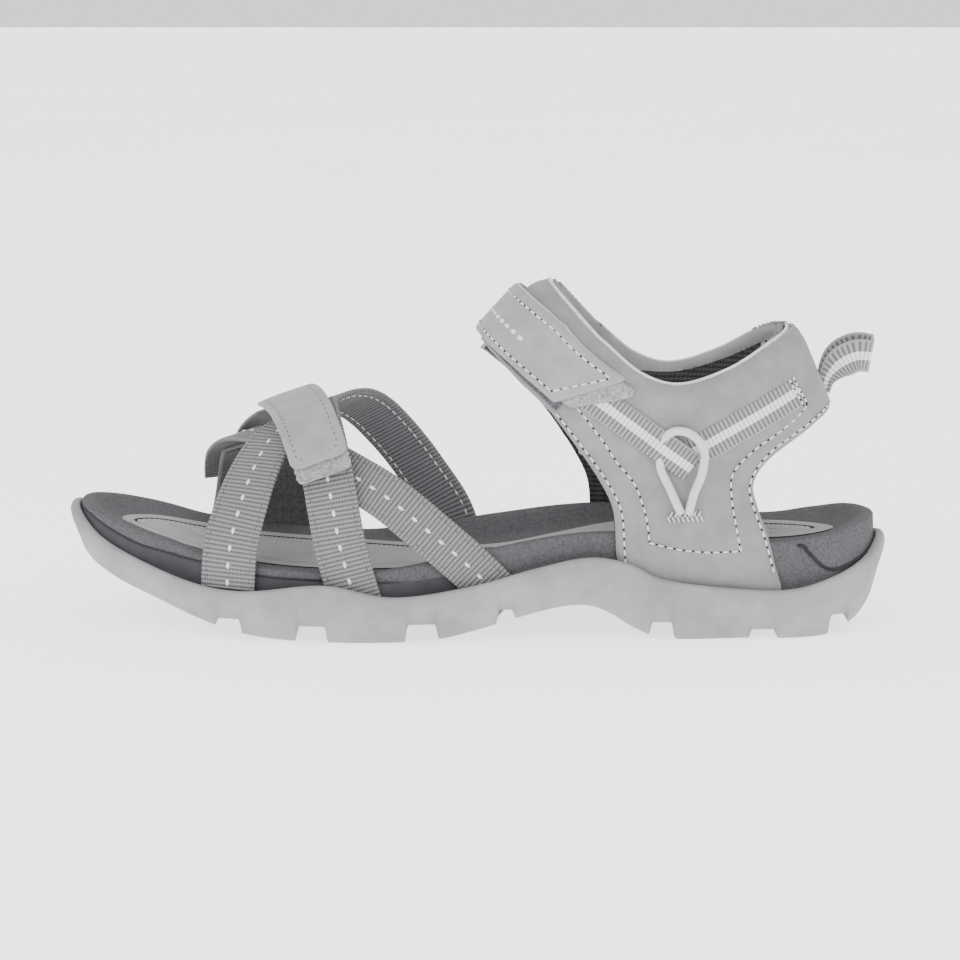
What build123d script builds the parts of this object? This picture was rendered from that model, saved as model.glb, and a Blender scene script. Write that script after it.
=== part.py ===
"""Left women's sport sandal: rubber cup outsole, foam footbed, webbing forefoot straps
with a hook-and-loop tab, and a padded heel and ankle upper with a second tab.

Frame: +X from toe to heel, -Y the outer (lateral) side, +Z up, millimetres.
The origin is under the middle of the sandal, on the ground.
"""
from build123d import *
import math
import os

# ---- driving dimensions -------------------------------------------------------------
SOLE_HEIGHT = 45.0        # plan prisms reach above every sole profile
SIDE_REACH = 60.0         # side profiles reach past the widest place
RIM_WALL = 3.0            # thickness of the outsole's side wall
STRAP_GAP = 3.2           # slot between the outsole wall and the footbed, where straps enter
DISH_WALL = 7.0           # dark border of the footbed round the inlay's dish
INLAY_DEPTH = 1.6
FIT = 0.3                 # play round the inlay and the shank plate
SHANK = (92.0, 22.0, 1.4)
SHANK_CENTRE = (22.0, -2.0)
SHANK_BREAKTHROUGH = 1.0  # the shank's pocket opens through the footbed's underside

WEBBING = 1.2             # thickness of the woven straps
TAPE = 0.5                # thickness of the dark inner tape
PANEL = 1.2               # thickness of synthetic leather
TOE_STRAP_WIDTH = 17.5
CROSS_STRAP_WIDTH = 14.5
MIDDLE_STRAP_WIDTH = 16.0
TAB_WIDTH = 18.5
ADJUSTER_WIDTH = 17.0
PATCH_WIDTH = 15.0
PATCH = 0.8               # thickness of the forefoot's hook and loop patches
LINING_MARGIN = 1.0       # linings stop this much inside their strap's edge

LATERAL = -1              # sign of Y on each side
MEDIAL = 1
BOTH_SIDES = (LATERAL, MEDIAL)
FAR_LATERAL = -50.0       # clear of everything on each side
FAR_MEDIAL = 45.0
TALL = 100.0              # clear of everything above
OVERSHOOT = 14.0          # side outlines run this far past the instep's outer face
INSTEP_RANGE = (-40.0, 50.0)   # X range in which the two wings stay apart
SHAFT_CENTRE_Y = -5.0     # middle of the heel, across
SHAFT_HALF_WIDTH = 29.0   # outer face of the quarters from that middle
SHAFT_FRONT = 60.0        # length of the rounded front half of each level
INSTEP_LEAN = 0.92        # the instep line runs back this much for each step up
INSTEP_X = 4.9            # instep line at the height below
INSTEP_Z = 95.6
QUARTER = 1.2             # thickness of the quarters' outer layer
FOAM = 2.0                # padding behind the collar
LINING = 0.8
LAYER_GAP = 0.15          # air or glue between layers
EDGE_FOLD = 1.5           # padding and lining stop this much inside the quarters' edge
FOAM_BOTTOM = 46.0        # the padding starts at this height, inside the collar
LINING_BOTTOM = 35.0      # the lining hangs down to just above the footbed

RIBBON_WIDTH = 9.5
PATCH_LAYER = (0.1, 1.1)  # sewn on the quarters: loop patch, ankle strap and ribbon
HOOK_LAYER = (1.4, 2.2)   # under the moving ankle tab
TAB_LAYER = (2.3, 3.5)
BAND_CORNER = 3.0         # rounding of the ankle bands' corners
BARTACK_DEPTH = 2.6       # thickness of thread round the elastic cord's ends
BARTACK_CORNER = 0.8
END_PULL = (1, 1)         # strength of the end tangents of round outlines
SLOPE_STEP = 4.0          # the heel's slope is taken over this much each way
PULL_INNER_ROOT = 0.3     # radius where the pull loop's opening starts

CORD_RADIUS = 1.35
CORD_STAND_OFF = 36.4     # plane of the elastic cord's middle, out from the sandal's middle
PULL_RIBBON = 1.0
PULL_WIDTH = 10.4
PULL_LENGTH = 17.0        # seam to tip
PULL_ROOT = 1.1           # half thickness where both ends meet at the seam
PULL_FULLNESS = 5.2       # radius of the open tip
PULL_STITCHED = 3.2       # length over which the two ends are sewn together
PULL_SEAM_Z = 78.5        # height of the loop's seam on the heel

GAP = 0.3                 # air between parts of different bodies

# ---- outlines -----------------------------------------------------------------------
# Outsole plan: toe tip to heel tip by the lateral side, then the same by the medial side.
SOLE_LATERAL = [
    (-131.2, 6), (-126.5, -10), (-112, -23), (-90, -34), (-60, -42), (-30, -44),
    (0, -41), (40, -38.6), (80, -38.2), (106, -34), (122, -22), (128.6, -5),
]
SOLE_MEDIAL = [
    (-131.2, 6), (-128, 19), (-115, 32), (-92, 42), (-60, 46), (-30, 42.5),
    (0, 35), (25, 29.5), (55, 28.5), (85, 29), (110, 25), (124, 13), (128.6, -5),
]
# Top edge of the outsole's wall, seen from the side.
RIM_LINE = [
    (-130, 35.5), (-122, 29), (-108, 23), (-88, 17), (-73, 15.6), (-48, 18.2),
    (-27, 14.6), (-3, 17.5), (18, 23), (34, 26), (46, 24), (56, 19.3),
    (75, 16.5), (96, 15.5), (112, 19), (123, 23.5), (130, 29.6),
]
# Underside of the outsole without its grooves.
GROUND_LINE = [
    (-132, 32), (-127, 23.5), (-116, 16.5), (-100, 10.5), (-84, 4.5), (-70, 1.2),
    (-50, 0), (-25, 0), (-12, 0.8), (0, 3.6), (14, 7.6), (26, 10.3), (34, 10.4),
    (41, 7.6), (48, 3.2), (57, 0), (80, 0), (106, 0), (114, 2), (122, 8),
    (130, 20.5),
]
# Grooves across the tread: centre, width and top height.
TREAD_GROOVES = [
    (-78, 7.5, 6.2), (-52, 9.0, 4.8), (-18, 9.5, 5.4), (8, 5.0, 9.5),
    (56.5, 7.0, 5.0), (88, 8.0, 2.6), (112, 6.0, 6.0),
]
# Floor of the outsole's cup, which is also the footbed's underside.
CUP_FLOOR = [
    (-140, 36), (-124, 27), (-108, 21), (-88, 14), (-68, 9), (-40, 8), (-15, 9),
    (8, 13.5), (30, 16.5), (46, 13), (62, 9), (100, 9), (112, 12), (135, 22),
]
# Footbed border height, and the dish that carries the inlay.
BORDER_LINE = [
    (-140, 40), (-126, 36.5), (-112, 32.6), (-90, 26.5), (-65, 22.5), (-38, 21.2),
    (-15, 24.5), (5, 28.5), (25, 32), (42, 33), (70, 31), (92, 29.8), (112, 32),
    (122, 34.2), (135, 36),
]
DISH_LINE = [
    (-140, 37), (-118, 31), (-105, 29), (-90, 25.6), (-70, 22), (-45, 20.4), (-10, 20.2),
    (6, 21.6), (25, 25.5), (44, 28.6), (70, 28.8), (92, 28.8), (112, 29.4), (135, 31),
]
# Light inlay, toe to heel, with a narrow waist.
INLAY_LATERAL = [
    (-117.5, 6), (-108, -8), (-88, -18.5), (-60, -25), (-34, -25), (-8, -19),
    (20, -15), (50, -17), (80, -19), (100, -16), (113, -4),
]
INLAY_MEDIAL = [
    (-117.5, 6), (-109, 17), (-90, 24), (-62, 27), (-34, 22), (-5, 12), (20, 8),
    (50, 11.5), (80, 13), (101, 9), (113, -4),
]

# Forefoot: half-widths, base and crest heights of the foot under the straps, along X.
FOOT_LATERAL = [(-100, -23.5), (-90, -28), (-75, -32.5), (-60, -36), (-45, -37.8),
                (-30, -38.2), (-15, -37), (0, -35.2), (15, -34)]
FOOT_MEDIAL = [(-100, 32.5), (-90, 36), (-75, 39.5), (-60, 40.7), (-45, 39.8), (-30, 37),
               (-15, 32.6), (0, 28.6), (15, 24)]
FOOT_BASE = [(-100, 29), (-90, 26.5), (-70, 22.4), (-40, 20.5), (-12, 21), (15, 25)]
FOOT_CREST = [(-100, 44.5), (-85, 51), (-70, 57), (-57, 61.7), (-42, 67), (-28, 73),
              (-12, 80), (5, 89), (20, 97)]

# Strap routes over the foot: (x, angle round the foot in degrees, lift of the underside).
# Angle 0 is the lateral edge of the footbed, 90 the crest and 180 the medial edge.
TOE_STRAP_ROUTE = [
    (-77.6, -15, 0.8), (-77.2, 0, 0.8), (-76.4, 12, 0.8), (-74.6, 25, 0.8),
    (-70.2, 47, 1.3), (-64, 66, 2.6), (-56, 79, 3.1), (-48.5, 95, 3.1), (-40, 114, 2.4),
    (-30, 138, 0.8), (-20, 158, 0.8), (-12, 172, 0.8), (-8.5, 181, 0.8), (-6, 187, 0.8),
]
CROSS_STRAP_ROUTE = [
    (9, -11, 0.2), (4, -6.5, 0.2), (-6, 3.7, 0.2), (-17, 14.7, 0.2), (-29, 27.5, 0.2),
    (-38.6, 37.7, 0.2), (-48, 49.6, 0.2), (-58, 68, 0.2), (-67.5, 86, 0.8),
    (-75.5, 103, 2.5), (-80.5, 120, 2.5), (-82.5, 136, 2.5), (-83.2, 152, 2.5),
]
MIDDLE_STRAP_ROUTE = [
    (-38, -10, 0.2), (-39.6, -4, 0.2), (-41.2, 3, 0.2), (-43, 11.8, 0.6),
    (-44.2, 21, 2.0), (-45.2, 30, 3.6), (-46.2, 40, 5.0), (-47.6, 52, 5.6),
    (-49.5, 66, 5.6), (-51, 79, 5.6),
]
LOOP_PATCH_ROUTE = [(-46.2, 40, 6.7), (-47.6, 52, 7.1), (-49.5, 66, 7.1), (-50.7, 76, 7.1)]
TAB_ROUTE = [(-60, 96, 9.6), (-57.6, 88, 9.6), (-53.5, 72, 9.6), (-50, 56, 9.6),
             (-47, 41, 9.6)]
HOOK_PATCH_ROUTE = [(-54.5, 74, 8.7), (-51.4, 62, 8.7), (-48.4, 48, 8.7), (-45.8, 36, 8.7)]
ADJUSTER_ROUTE = [(-62.2, 101.5, 6.6), (-65.5, 109, 5.8), (-69, 120, 5.2),
                  (-71.4, 133, 4.8), (-72.5, 146, 4.8)]
TOE_PANEL_ROUTE = [(-71.2, 187, 0.9), (-71.2, 176, 0.9), (-71.6, 160, 0.9),
                   (-72.4, 140, 0.9), (-73, 120, 0.9)]
TOE_PANEL_WIDTHS = [37, 36, 32, 27, 22]

# Heel and ankle: heel line and fullness of the back, by height.
HEEL_LINE = [(12, 124), (22, 122), (35, 117), (50, 113.5), (62, 112.2), (70, 110.6),
             (80, 106.3), (88, 102.8), (95, 99.5), (104, 98.5), (116, 102)]
BACK_FULLNESS = [(12, 4.6), (24, 4.2), (50, 3.0), (75, 2.45), (116, 2.4)]
FRONT_FULLNESS = 2.3
SHAFT_LEVELS = [11, 24, 38, 52, 64, 75, 86, 98, 114]
SHAFT_STEPS = 12

# Quarter outline in side view, from the wing over the instep to the sole and the heel.
QUARTER_LOWER_LEAD = [(21.5, 70.5), (29.3, 60.5), (37, 49.5), (41.5, 40), (42.5, 28)]
QUARTER_BACK = [(94, 16), (90, 31), (86, 42), (85.3, 48.5), (91, 56.5), (104, 65), (113, 71)]
COLLAR_LINE = [(101, 95), (92, 91), (78, 83.5), (62, 79), (49, 82.5), (37, 91.3)]
MEDIAL_LEAD_SHIFT = -6.0  # the medial front edge stands this much further forward
WING_LOW = 66.8           # wing and tab edges, measured along the strap's width
WING_HIGH = 91.8
TAB_LOW = 70.8
TAB_HIGH = 88.0
INSTEP_LEVEL = 61.1       # outer face of the wings over the instep, out from the origin
MEDIAL_WING_END = 8.0     # the wings stay apart between the sandal's middle and this y
TAB_SEAM_Y = 9.0          # seam across which the ankle tab folds open
TAB_SETBACK = 1.0         # the tab starts and the strap ends this far from that seam
LEG_BOTTOM = 11.5         # ends of the quarters' legs, at their rear and front edges
LEG_FRONT_BOTTOM = 16.8
LEG_RANGE = (30.0, 98.0)  # X range of the slots in which the legs pass the footbed
HEEL_PLAY = (124, 71, 95)  # x past the heel, and the heights of the quarter's back there

# Ends of the ankle pieces on the lateral side: (distance out over the instep, along the width).
TAB_END = [(32.5, 70.8), (21.5, 90.8), (45, 91)]
HOOK_END = [(46, 72.5), (28, 72.5), (16.6, 87.5), (18, 90), (46, 90)]
LOOP_PATCH_END = [(30, 67.4), (30, 89)]
STRAP_END = [(30, 70.8), (20, 88), (45, 91)]

# Striped ribbon on the lateral quarter: ends of its two runs in side view.
RIBBON_RUNS = [((33.5, 76.5), (63, 54.8)), ((63.5, 57.4), (98.4, 76.4))]
CORD_CORNERS = [(61.6, 40), (54.6, 55.5), (57, 64.6), (65.6, 65), (69.2, 56), (64, 40)]
CORD_RADII = [11, 5, 5, 11]
CORD_BARTACK = (63, 38.4, 10.5, 2.4)   # middle x and z, length, height


def smooth(table, x):
    """Value at x of a smooth curve through the table's points."""
    last = len(table) - 1
    i = 0
    while i < last - 1 and x > table[i + 1][0]:
        i += 1
    x0, y0 = table[i]
    x1, y1 = table[i + 1]
    before = table[max(i - 1, 0)]
    after = table[min(i + 2, last)]
    slope0 = (y1 - before[1]) / (x1 - before[0])
    slope1 = (after[1] - y0) / (after[0] - x0)
    step = x1 - x0
    t = (x - x0) / step
    return (
        y0 * (1 + 2 * t) * (1 - t) ** 2
        + slope0 * step * t * (1 - t) ** 2
        + y1 * t * t * (3 - 2 * t)
        + slope1 * step * t * t * (t - 1)
    )


# ---- forefoot surface ---------------------------------------------------------------
def foot_point(x, angle):
    """Point on the foot's surface; past either edge of the footbed it runs straight down."""
    lateral = smooth(FOOT_LATERAL, x)
    medial = smooth(FOOT_MEDIAL, x)
    base = smooth(FOOT_BASE, x)
    height = smooth(FOOT_CREST, x) - base
    turn = math.radians(angle)
    if angle < 0:
        return Vector(x, lateral, base + height * turn)
    if angle > 180:
        return Vector(x, medial, base - height * (turn - math.pi))
    middle = (lateral + medial) / 2
    half = (medial - lateral) / 2
    return Vector(x, middle - half * math.cos(turn), base + height * math.sin(turn))


def foot_normal(x, angle):
    """Outward direction of the foot's surface."""
    along = foot_point(x + 0.5, angle) - foot_point(x - 0.5, angle)
    around = foot_point(x, angle + 0.5) - foot_point(x, angle - 0.5)
    return around.cross(along).normalized() * -1


def strap_planes(route, thickness):
    """One plane per route point, across the strap, at the middle of its thickness."""
    middles = []
    for x, angle, lift in route:
        middles.append(foot_point(x, angle) + foot_normal(x, angle) * (lift + thickness / 2))
    planes = []
    for i, (x, angle, _) in enumerate(route):
        ahead = middles[min(i + 1, len(route) - 1)]
        behind = middles[max(i - 1, 0)]
        along = (ahead - behind).normalized()
        across = along.cross(foot_normal(x, angle)).normalized()
        planes.append(Plane(origin=middles[i], x_dir=across, z_dir=along))
    return planes


def strap(route, widths, thickness):
    """Band of rectangular section lofted along its route over the foot."""
    with BuildPart() as band:
        for plane, width in zip(strap_planes(route, thickness), widths):
            with BuildSketch(plane):
                Rectangle(width, thickness)
        loft()
    return band.part


def even_strap(route, width, thickness):
    """Band of one width all along its route."""
    return strap(route, [width] * len(route), thickness)


def raised(route, rise):
    """The same route, lifted further off the foot."""
    return [(x, angle, lift + rise) for x, angle, lift in route]


# ---- heel and ankle surface -----------------------------------------------------------
def instep_x(z):
    """Front of the shaft at a height."""
    return INSTEP_X + INSTEP_LEAN * (z - INSTEP_Z)


WIDTH_DIRECTION = Vector(INSTEP_LEAN, 0, 1).normalized()
OUT_DIRECTION = Vector(-1, 0, INSTEP_LEAN).normalized()
FRONT_STRETCH = 1 / abs(OUT_DIRECTION.X)


def shaft_half(z, offset, side_sign):
    """Row of points from the instep to the heel down one side, at a height and offset."""
    middle = instep_x(z) + SHAFT_FRONT
    back = smooth(HEEL_LINE, z) - middle + offset
    front = SHAFT_FRONT + offset * FRONT_STRETCH
    side = SHAFT_HALF_WIDTH + offset
    points = []
    for i in range(SHAFT_STEPS + 1):
        turn = math.pi * i / SHAFT_STEPS
        c = math.cos(turn)
        fullness = FRONT_FULLNESS if c > 0 else smooth(BACK_FULLNESS, z)
        reach = front if c > 0 else back
        x = middle - math.copysign(reach * abs(c) ** (2 / fullness), c)
        spread = 0 if i in (0, SHAFT_STEPS) else math.sin(turn) ** (2 / fullness)
        y = SHAFT_CENTRE_Y + side_sign * side * spread
        points.append((x, y))
    return points


def shaft(offset, side_sign):
    """Half of the space inside the shaft's surface moved out by offset."""
    with BuildPart() as body:
        for z in SHAFT_LEVELS:
            points = shaft_half(z, offset, side_sign)
            with BuildSketch(Plane.XY.offset(z)):
                with BuildLine():
                    Spline(
                        *points,
                        tangents=((0, side_sign), (0, -side_sign)),
                        tangent_scalars=END_PULL,
                    )
                    Line(points[-1], points[0])
                make_face()
        loft()
    return body.part


def shaft_shell(inner, outer, sides):
    """Layer of the upper between two offsets of the shaft's surface, on one or both sides."""
    with BuildPart() as shell:
        for side_sign in sides:
            add(shaft(outer, side_sign))
        for side_sign in sides:
            add(shaft(inner, side_sign), mode=Mode.SUBTRACT)
    return shell.part


def on_instep(out, along):
    """Side-view point from its distance out over the instep and along the strap's width."""
    place = OUT_DIRECTION * out + WIDTH_DIRECTION * along
    return (place.X, place.Z)


def quarter_face(shift, trim):
    """Side outline of a quarter, with its front edge moved by shift and its edge trimmed."""
    far_out = INSTEP_LEVEL + OVERSHOOT
    behind, low, high = HEEL_PLAY
    lead = [(x + shift + trim, z) for x, z in QUARTER_LOWER_LEAD]
    rear = [(x - trim, z) for x, z in QUARTER_BACK]
    collar = [(x, z - trim) for x, z in COLLAR_LINE]
    with BuildSketch(Plane.XZ) as outline:
        with BuildLine():
            Polyline(lead[0], on_instep(far_out, WING_LOW + trim),
                     on_instep(far_out, WING_HIGH - trim), collar[-1])
            Spline(*reversed(collar))
            Polyline(collar[0], (behind, high), (behind, low), rear[-1])
            Spline(*reversed(rear))
            Polyline(rear[0], (rear[0][0], LEG_BOTTOM), (lead[-1][0], LEG_FRONT_BOTTOM),
                     lead[-1])
            Spline(*reversed(lead))
        make_face()
    return outline.face()


def side_prism(face, y_from, y_to):
    """Side outline drawn out across the sandal from y_from to y_to."""
    with BuildPart() as prism:
        with BuildSketch(Plane.XZ.offset(-y_to)):
            add(face)
        extrude(amount=y_to - y_from)
    return prism.part


def rounded_flat_face(points, radius):
    """Side-view polygon with rounded corners."""
    with BuildSketch(Plane.XZ) as outline:
        with BuildLine():
            Polyline(*points, close=True)
        make_face()
        fillet(outline.vertices(), radius=radius)
    return outline.face()


def front_gap(y_from, y_to):
    """Block that keeps the wings apart over the instep."""
    low, high = INSTEP_RANGE
    with BuildPart() as block:
        with BuildSketch(Plane.XY.offset(SOLE_HEIGHT)):
            with Locations(((low + high) / 2, (y_from + y_to) / 2)):
                Rectangle(high - low, y_to - y_from)
        extrude(amount=TALL)
    return block.part


def slab_above(height):
    """Everything above a height."""
    with BuildPart() as slab:
        with BuildSketch(Plane.XY.offset(height)):
            Rectangle(4 * TALL, 2 * TALL)
        extrude(amount=TALL)
    return slab.part


def band_face(end_points, low, high):
    """Side-view outline of a band over the instep, closed by its end."""
    far_out = INSTEP_LEVEL + OVERSHOOT
    points = [on_instep(far_out, low)]
    points += [on_instep(out, along) for out, along in end_points]
    points.append(on_instep(far_out, high))
    return rounded_flat_face(points, BAND_CORNER)


def ribbon_outline():
    """Side-view outline of the ribbon's two runs together."""
    with BuildSketch(Plane.XZ) as outline:
        for (x0, z0), (x1, z1) in RIBBON_RUNS:
            with Locations(((x0 + x1) / 2, (z0 + z1) / 2)):
                Rectangle(
                    math.hypot(x1 - x0, z1 - z0),
                    RIBBON_WIDTH,
                    rotation=math.degrees(math.atan2(z1 - z0, x1 - x0)),
                )
    return outline.face()


def drop_line(root_x, root_radius, tip_x, tip_radius):
    """Closed line round two circles and their outer tangents, inside an open line builder."""
    lean = math.asin((tip_radius - root_radius) / (tip_x - root_x))
    root = (root_x - root_radius * math.sin(lean), root_radius * math.cos(lean))
    tip = (tip_x - tip_radius * math.sin(lean), tip_radius * math.cos(lean))
    Line(root, tip)
    ThreePointArc(tip, (tip_x + tip_radius, 0), (tip[0], -tip[1]))
    Line((tip[0], -tip[1]), (root[0], -root[1]))
    ThreePointArc((root[0], -root[1]), (root_x - root_radius, 0), root)


# ---- sole -----------------------------------------------------------------------------
def inset_row(points, inset, side_sign):
    """Row of plan points moved inwards; its two tips move straight along X."""
    moved = []
    for i, (x, y) in enumerate(points):
        if i in (0, len(points) - 1):
            inwards = 1 if i == 0 else -1
            moved.append((x + inwards * inset, y))
            continue
        ahead = Vector(*points[i + 1])
        behind = Vector(*points[i - 1])
        along = (ahead - behind).normalized()
        moved.append((x + side_sign * along.Y * inset, y - side_sign * along.X * inset))
    return moved


def plan_prism(lateral, medial, inset):
    """Plan outline, inset all round, standing from the ground to above the sole."""
    with BuildPart() as prism:
        with BuildSketch(Plane.XY):
            with BuildLine():
                Spline(
                    *inset_row(lateral, inset, -1),
                    tangents=((0, -1), (0, 1)),
                    tangent_scalars=END_PULL,
                )
                Spline(
                    *inset_row(medial, inset, 1),
                    tangents=((0, 1), (0, -1)),
                    tangent_scalars=END_PULL,
                )
            make_face()
        extrude(amount=SOLE_HEIGHT)
    return prism.part


def side_band(top, bottom, drop=0.0, rise=0.0):
    """Everything between two side-view curves, right across the sandal."""
    upper = [(x, z + rise) for x, z in top]
    lower = [(x, z - drop) for x, z in bottom]
    with BuildPart() as band:
        with BuildSketch(Plane.XZ):
            with BuildLine():
                Spline(*upper)
                Line(upper[-1], lower[-1])
                Spline(*reversed(lower))
                Line(lower[0], upper[0])
            make_face()
        extrude(amount=SIDE_REACH, both=True)
    return band.part


def sky(bottom):
    """Everything above a side-view curve."""
    first, last = bottom[0], bottom[-1]
    with BuildPart() as above:
        with BuildSketch(Plane.XZ):
            with BuildLine():
                Spline(*bottom)
                Polyline(last, (last[0], TALL), (first[0], TALL), first)
            make_face()
        extrude(amount=SIDE_REACH, both=True)
    return above.part


outline_block = plan_prism(SOLE_LATERAL, SOLE_MEDIAL, 0)
cup_block = plan_prism(SOLE_LATERAL, SOLE_MEDIAL, RIM_WALL)
cup_sky = sky(CUP_FLOOR)
wall_band = side_band(RIM_LINE, GROUND_LINE)

with BuildPart() as cup:
    add(cup_block)
    add(cup_sky, mode=Mode.INTERSECT)

with BuildPart() as grooves:
    for centre, width, top in TREAD_GROOVES:
        with Locations((centre, 0, 0)):
            Box(width, 2 * SIDE_REACH, 2 * top)

with BuildPart() as outsole:
    add(outline_block)
    add(wall_band, mode=Mode.INTERSECT)
    add(cup.part, mode=Mode.SUBTRACT)
    add(grooves.part, mode=Mode.SUBTRACT)

FOOTBED_INSET = RIM_WALL + STRAP_GAP
footbed_block = plan_prism(SOLE_LATERAL, SOLE_MEDIAL, FOOTBED_INSET)
dish_block = plan_prism(SOLE_LATERAL, SOLE_MEDIAL, FOOTBED_INSET + DISH_WALL)
underside = [(x, z + LAYER_GAP) for x, z in CUP_FLOOR]
border_band = side_band(BORDER_LINE, underside)
glued_sky = sky(underside)
dish_sky = sky(DISH_LINE)

with BuildPart() as dish:
    add(dish_block)
    add(dish_sky, mode=Mode.INTERSECT)

inlay_floor = [(x, z - INLAY_DEPTH) for x, z in DISH_LINE]
inlay_underside = [(x, z + LAYER_GAP) for x, z in inlay_floor]
inlay_sky = sky(inlay_floor)
inlay_band = side_band(DISH_LINE, inlay_underside)

inlay_block = plan_prism(INLAY_LATERAL, INLAY_MEDIAL, FIT)
inlay_hole = plan_prism(INLAY_LATERAL, INLAY_MEDIAL, 0)
with BuildPart() as inlay_seat:
    add(inlay_hole)
    add(inlay_sky, mode=Mode.INTERSECT)

shank_length, shank_width, shank_thickness = SHANK
shank_x, shank_y = SHANK_CENTRE
shank_top = [(x, z + shank_thickness) for x, z in underside]
shank_band = side_band(shank_top, underside)
pocket_band = side_band(shank_top, underside, drop=SHANK_BREAKTHROUGH, rise=FIT)

with BuildPart() as shank_plate:
    with BuildSketch(Plane.XY):
        with Locations((shank_x, shank_y)):
            SlotOverall(shank_length, shank_width)
    extrude(amount=SOLE_HEIGHT)
    add(shank_band, mode=Mode.INTERSECT)

with BuildPart() as shank_pocket:
    with BuildSketch(Plane.XY):
        with Locations((shank_x, shank_y)):
            SlotOverall(shank_length + 2 * FIT, shank_width + 2 * FIT)
    extrude(amount=SOLE_HEIGHT)
    add(pocket_band, mode=Mode.INTERSECT)

leg_shell = shaft_shell(-QUARTER - FIT, STRAP_GAP, BOTH_SIDES)
leg_front, leg_rear = LEG_RANGE
with BuildPart() as leg_slots:
    with Locations(((leg_front + leg_rear) / 2, 0, 0)):
        Box(leg_rear - leg_front, 2 * SIDE_REACH, 2 * SOLE_HEIGHT)
    add(leg_shell, mode=Mode.INTERSECT)

with BuildPart() as footbed:
    add(footbed_block)
    add(border_band, mode=Mode.INTERSECT)
    add(dish.part, mode=Mode.SUBTRACT)
    add(inlay_seat.part, mode=Mode.SUBTRACT)
    add(shank_pocket.part, mode=Mode.SUBTRACT)
    add(leg_slots.part, mode=Mode.SUBTRACT)

with BuildPart() as footbed_inlay:
    add(inlay_block)
    add(inlay_band, mode=Mode.INTERSECT)

# ---- forefoot straps --------------------------------------------------------------------
toe_strap_route = raised(TOE_STRAP_ROUTE, TAPE + LAYER_GAP)
panel_lining_route = raised(TOE_PANEL_ROUTE, -TAPE - LAYER_GAP)
panel_lining_widths = [width - 2 * LINING_MARGIN for width in TOE_PANEL_WIDTHS]

toe_lining_band = even_strap(TOE_STRAP_ROUTE, TOE_STRAP_WIDTH - LINING_MARGIN, TAPE)
toe_strap_band = even_strap(toe_strap_route, TOE_STRAP_WIDTH, WEBBING)
cross_strap_band = even_strap(CROSS_STRAP_ROUTE, CROSS_STRAP_WIDTH, WEBBING)
middle_strap_band = even_strap(MIDDLE_STRAP_ROUTE, MIDDLE_STRAP_WIDTH, WEBBING)
loop_patch_band = even_strap(LOOP_PATCH_ROUTE, PATCH_WIDTH, PATCH)
hook_patch_band = even_strap(HOOK_PATCH_ROUTE, TAB_WIDTH - LINING_MARGIN, PATCH)
tab_band = even_strap(TAB_ROUTE, TAB_WIDTH, PANEL)
adjuster_band = even_strap(ADJUSTER_ROUTE, ADJUSTER_WIDTH, WEBBING)
panel_band = strap(TOE_PANEL_ROUTE, TOE_PANEL_WIDTHS, PANEL)
panel_lining_band = strap(panel_lining_route, panel_lining_widths, TAPE)

with BuildPart() as toe_strap_lining:
    add(toe_lining_band)
with BuildPart() as toe_strap:
    add(toe_strap_band)
with BuildPart() as cross_strap:
    add(cross_strap_band)
    add(glued_sky, mode=Mode.INTERSECT)
with BuildPart() as middle_strap:
    add(middle_strap_band)
with BuildPart() as forefoot_loop_patch:
    add(loop_patch_band)
with BuildPart() as forefoot_hook_patch:
    add(hook_patch_band)
with BuildPart() as forefoot_tab:
    add(tab_band)
with BuildPart() as adjuster_strap:
    add(adjuster_band)
with BuildPart() as medial_toe_panel:
    add(panel_band)
with BuildPart() as toe_panel_lining:
    add(panel_lining_band)

# ---- heel and ankle upper ---------------------------------------------------------------
lateral_shell = shaft_shell(-QUARTER, 0, (LATERAL,))
medial_shell = shaft_shell(-QUARTER, 0, (MEDIAL,))
foam_outer = -QUARTER - LAYER_GAP
foam_shell = shaft_shell(foam_outer - FOAM, foam_outer, BOTH_SIDES)
lining_outer = foam_outer - FOAM - LAYER_GAP
lining_shell = shaft_shell(lining_outer - LINING, lining_outer, BOTH_SIDES)

lateral_outline = quarter_face(0, 0)
medial_outline = quarter_face(MEDIAL_LEAD_SHIFT, 0)
lateral_inner = quarter_face(0, EDGE_FOLD)
medial_inner = quarter_face(MEDIAL_LEAD_SHIFT, EDGE_FOLD)

lateral_prism = side_prism(lateral_outline, FAR_LATERAL, SHAFT_CENTRE_Y - LAYER_GAP)
medial_prism = side_prism(medial_outline, SHAFT_CENTRE_Y + LAYER_GAP, FAR_MEDIAL)
lateral_inner_prism = side_prism(lateral_inner, FAR_LATERAL, SHAFT_CENTRE_Y)
medial_inner_prism = side_prism(medial_inner, SHAFT_CENTRE_Y, FAR_MEDIAL)

instep_gap_medial = front_gap(FAR_LATERAL, MEDIAL_WING_END)
instep_gap = front_gap(SHAFT_CENTRE_Y - EDGE_FOLD, MEDIAL_WING_END + EDGE_FOLD)
foam_ceiling = slab_above(FOAM_BOTTOM)
lining_ceiling = slab_above(LINING_BOTTOM)

with BuildPart() as lateral_quarter:
    add(lateral_shell)
    add(lateral_prism, mode=Mode.INTERSECT)
with BuildPart() as medial_quarter:
    add(medial_shell)
    add(medial_prism, mode=Mode.INTERSECT)
    add(instep_gap_medial, mode=Mode.SUBTRACT)

with BuildPart() as inner_outline:
    add(lateral_inner_prism)
    add(medial_inner_prism)
    add(instep_gap, mode=Mode.SUBTRACT)

with BuildPart() as collar_foam:
    add(foam_shell)
    add(inner_outline.part, mode=Mode.INTERSECT)
    add(foam_ceiling, mode=Mode.INTERSECT)
with BuildPart() as quarter_lining:
    add(lining_shell)
    add(inner_outline.part, mode=Mode.INTERSECT)
    add(lining_ceiling, mode=Mode.INTERSECT)

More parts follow.
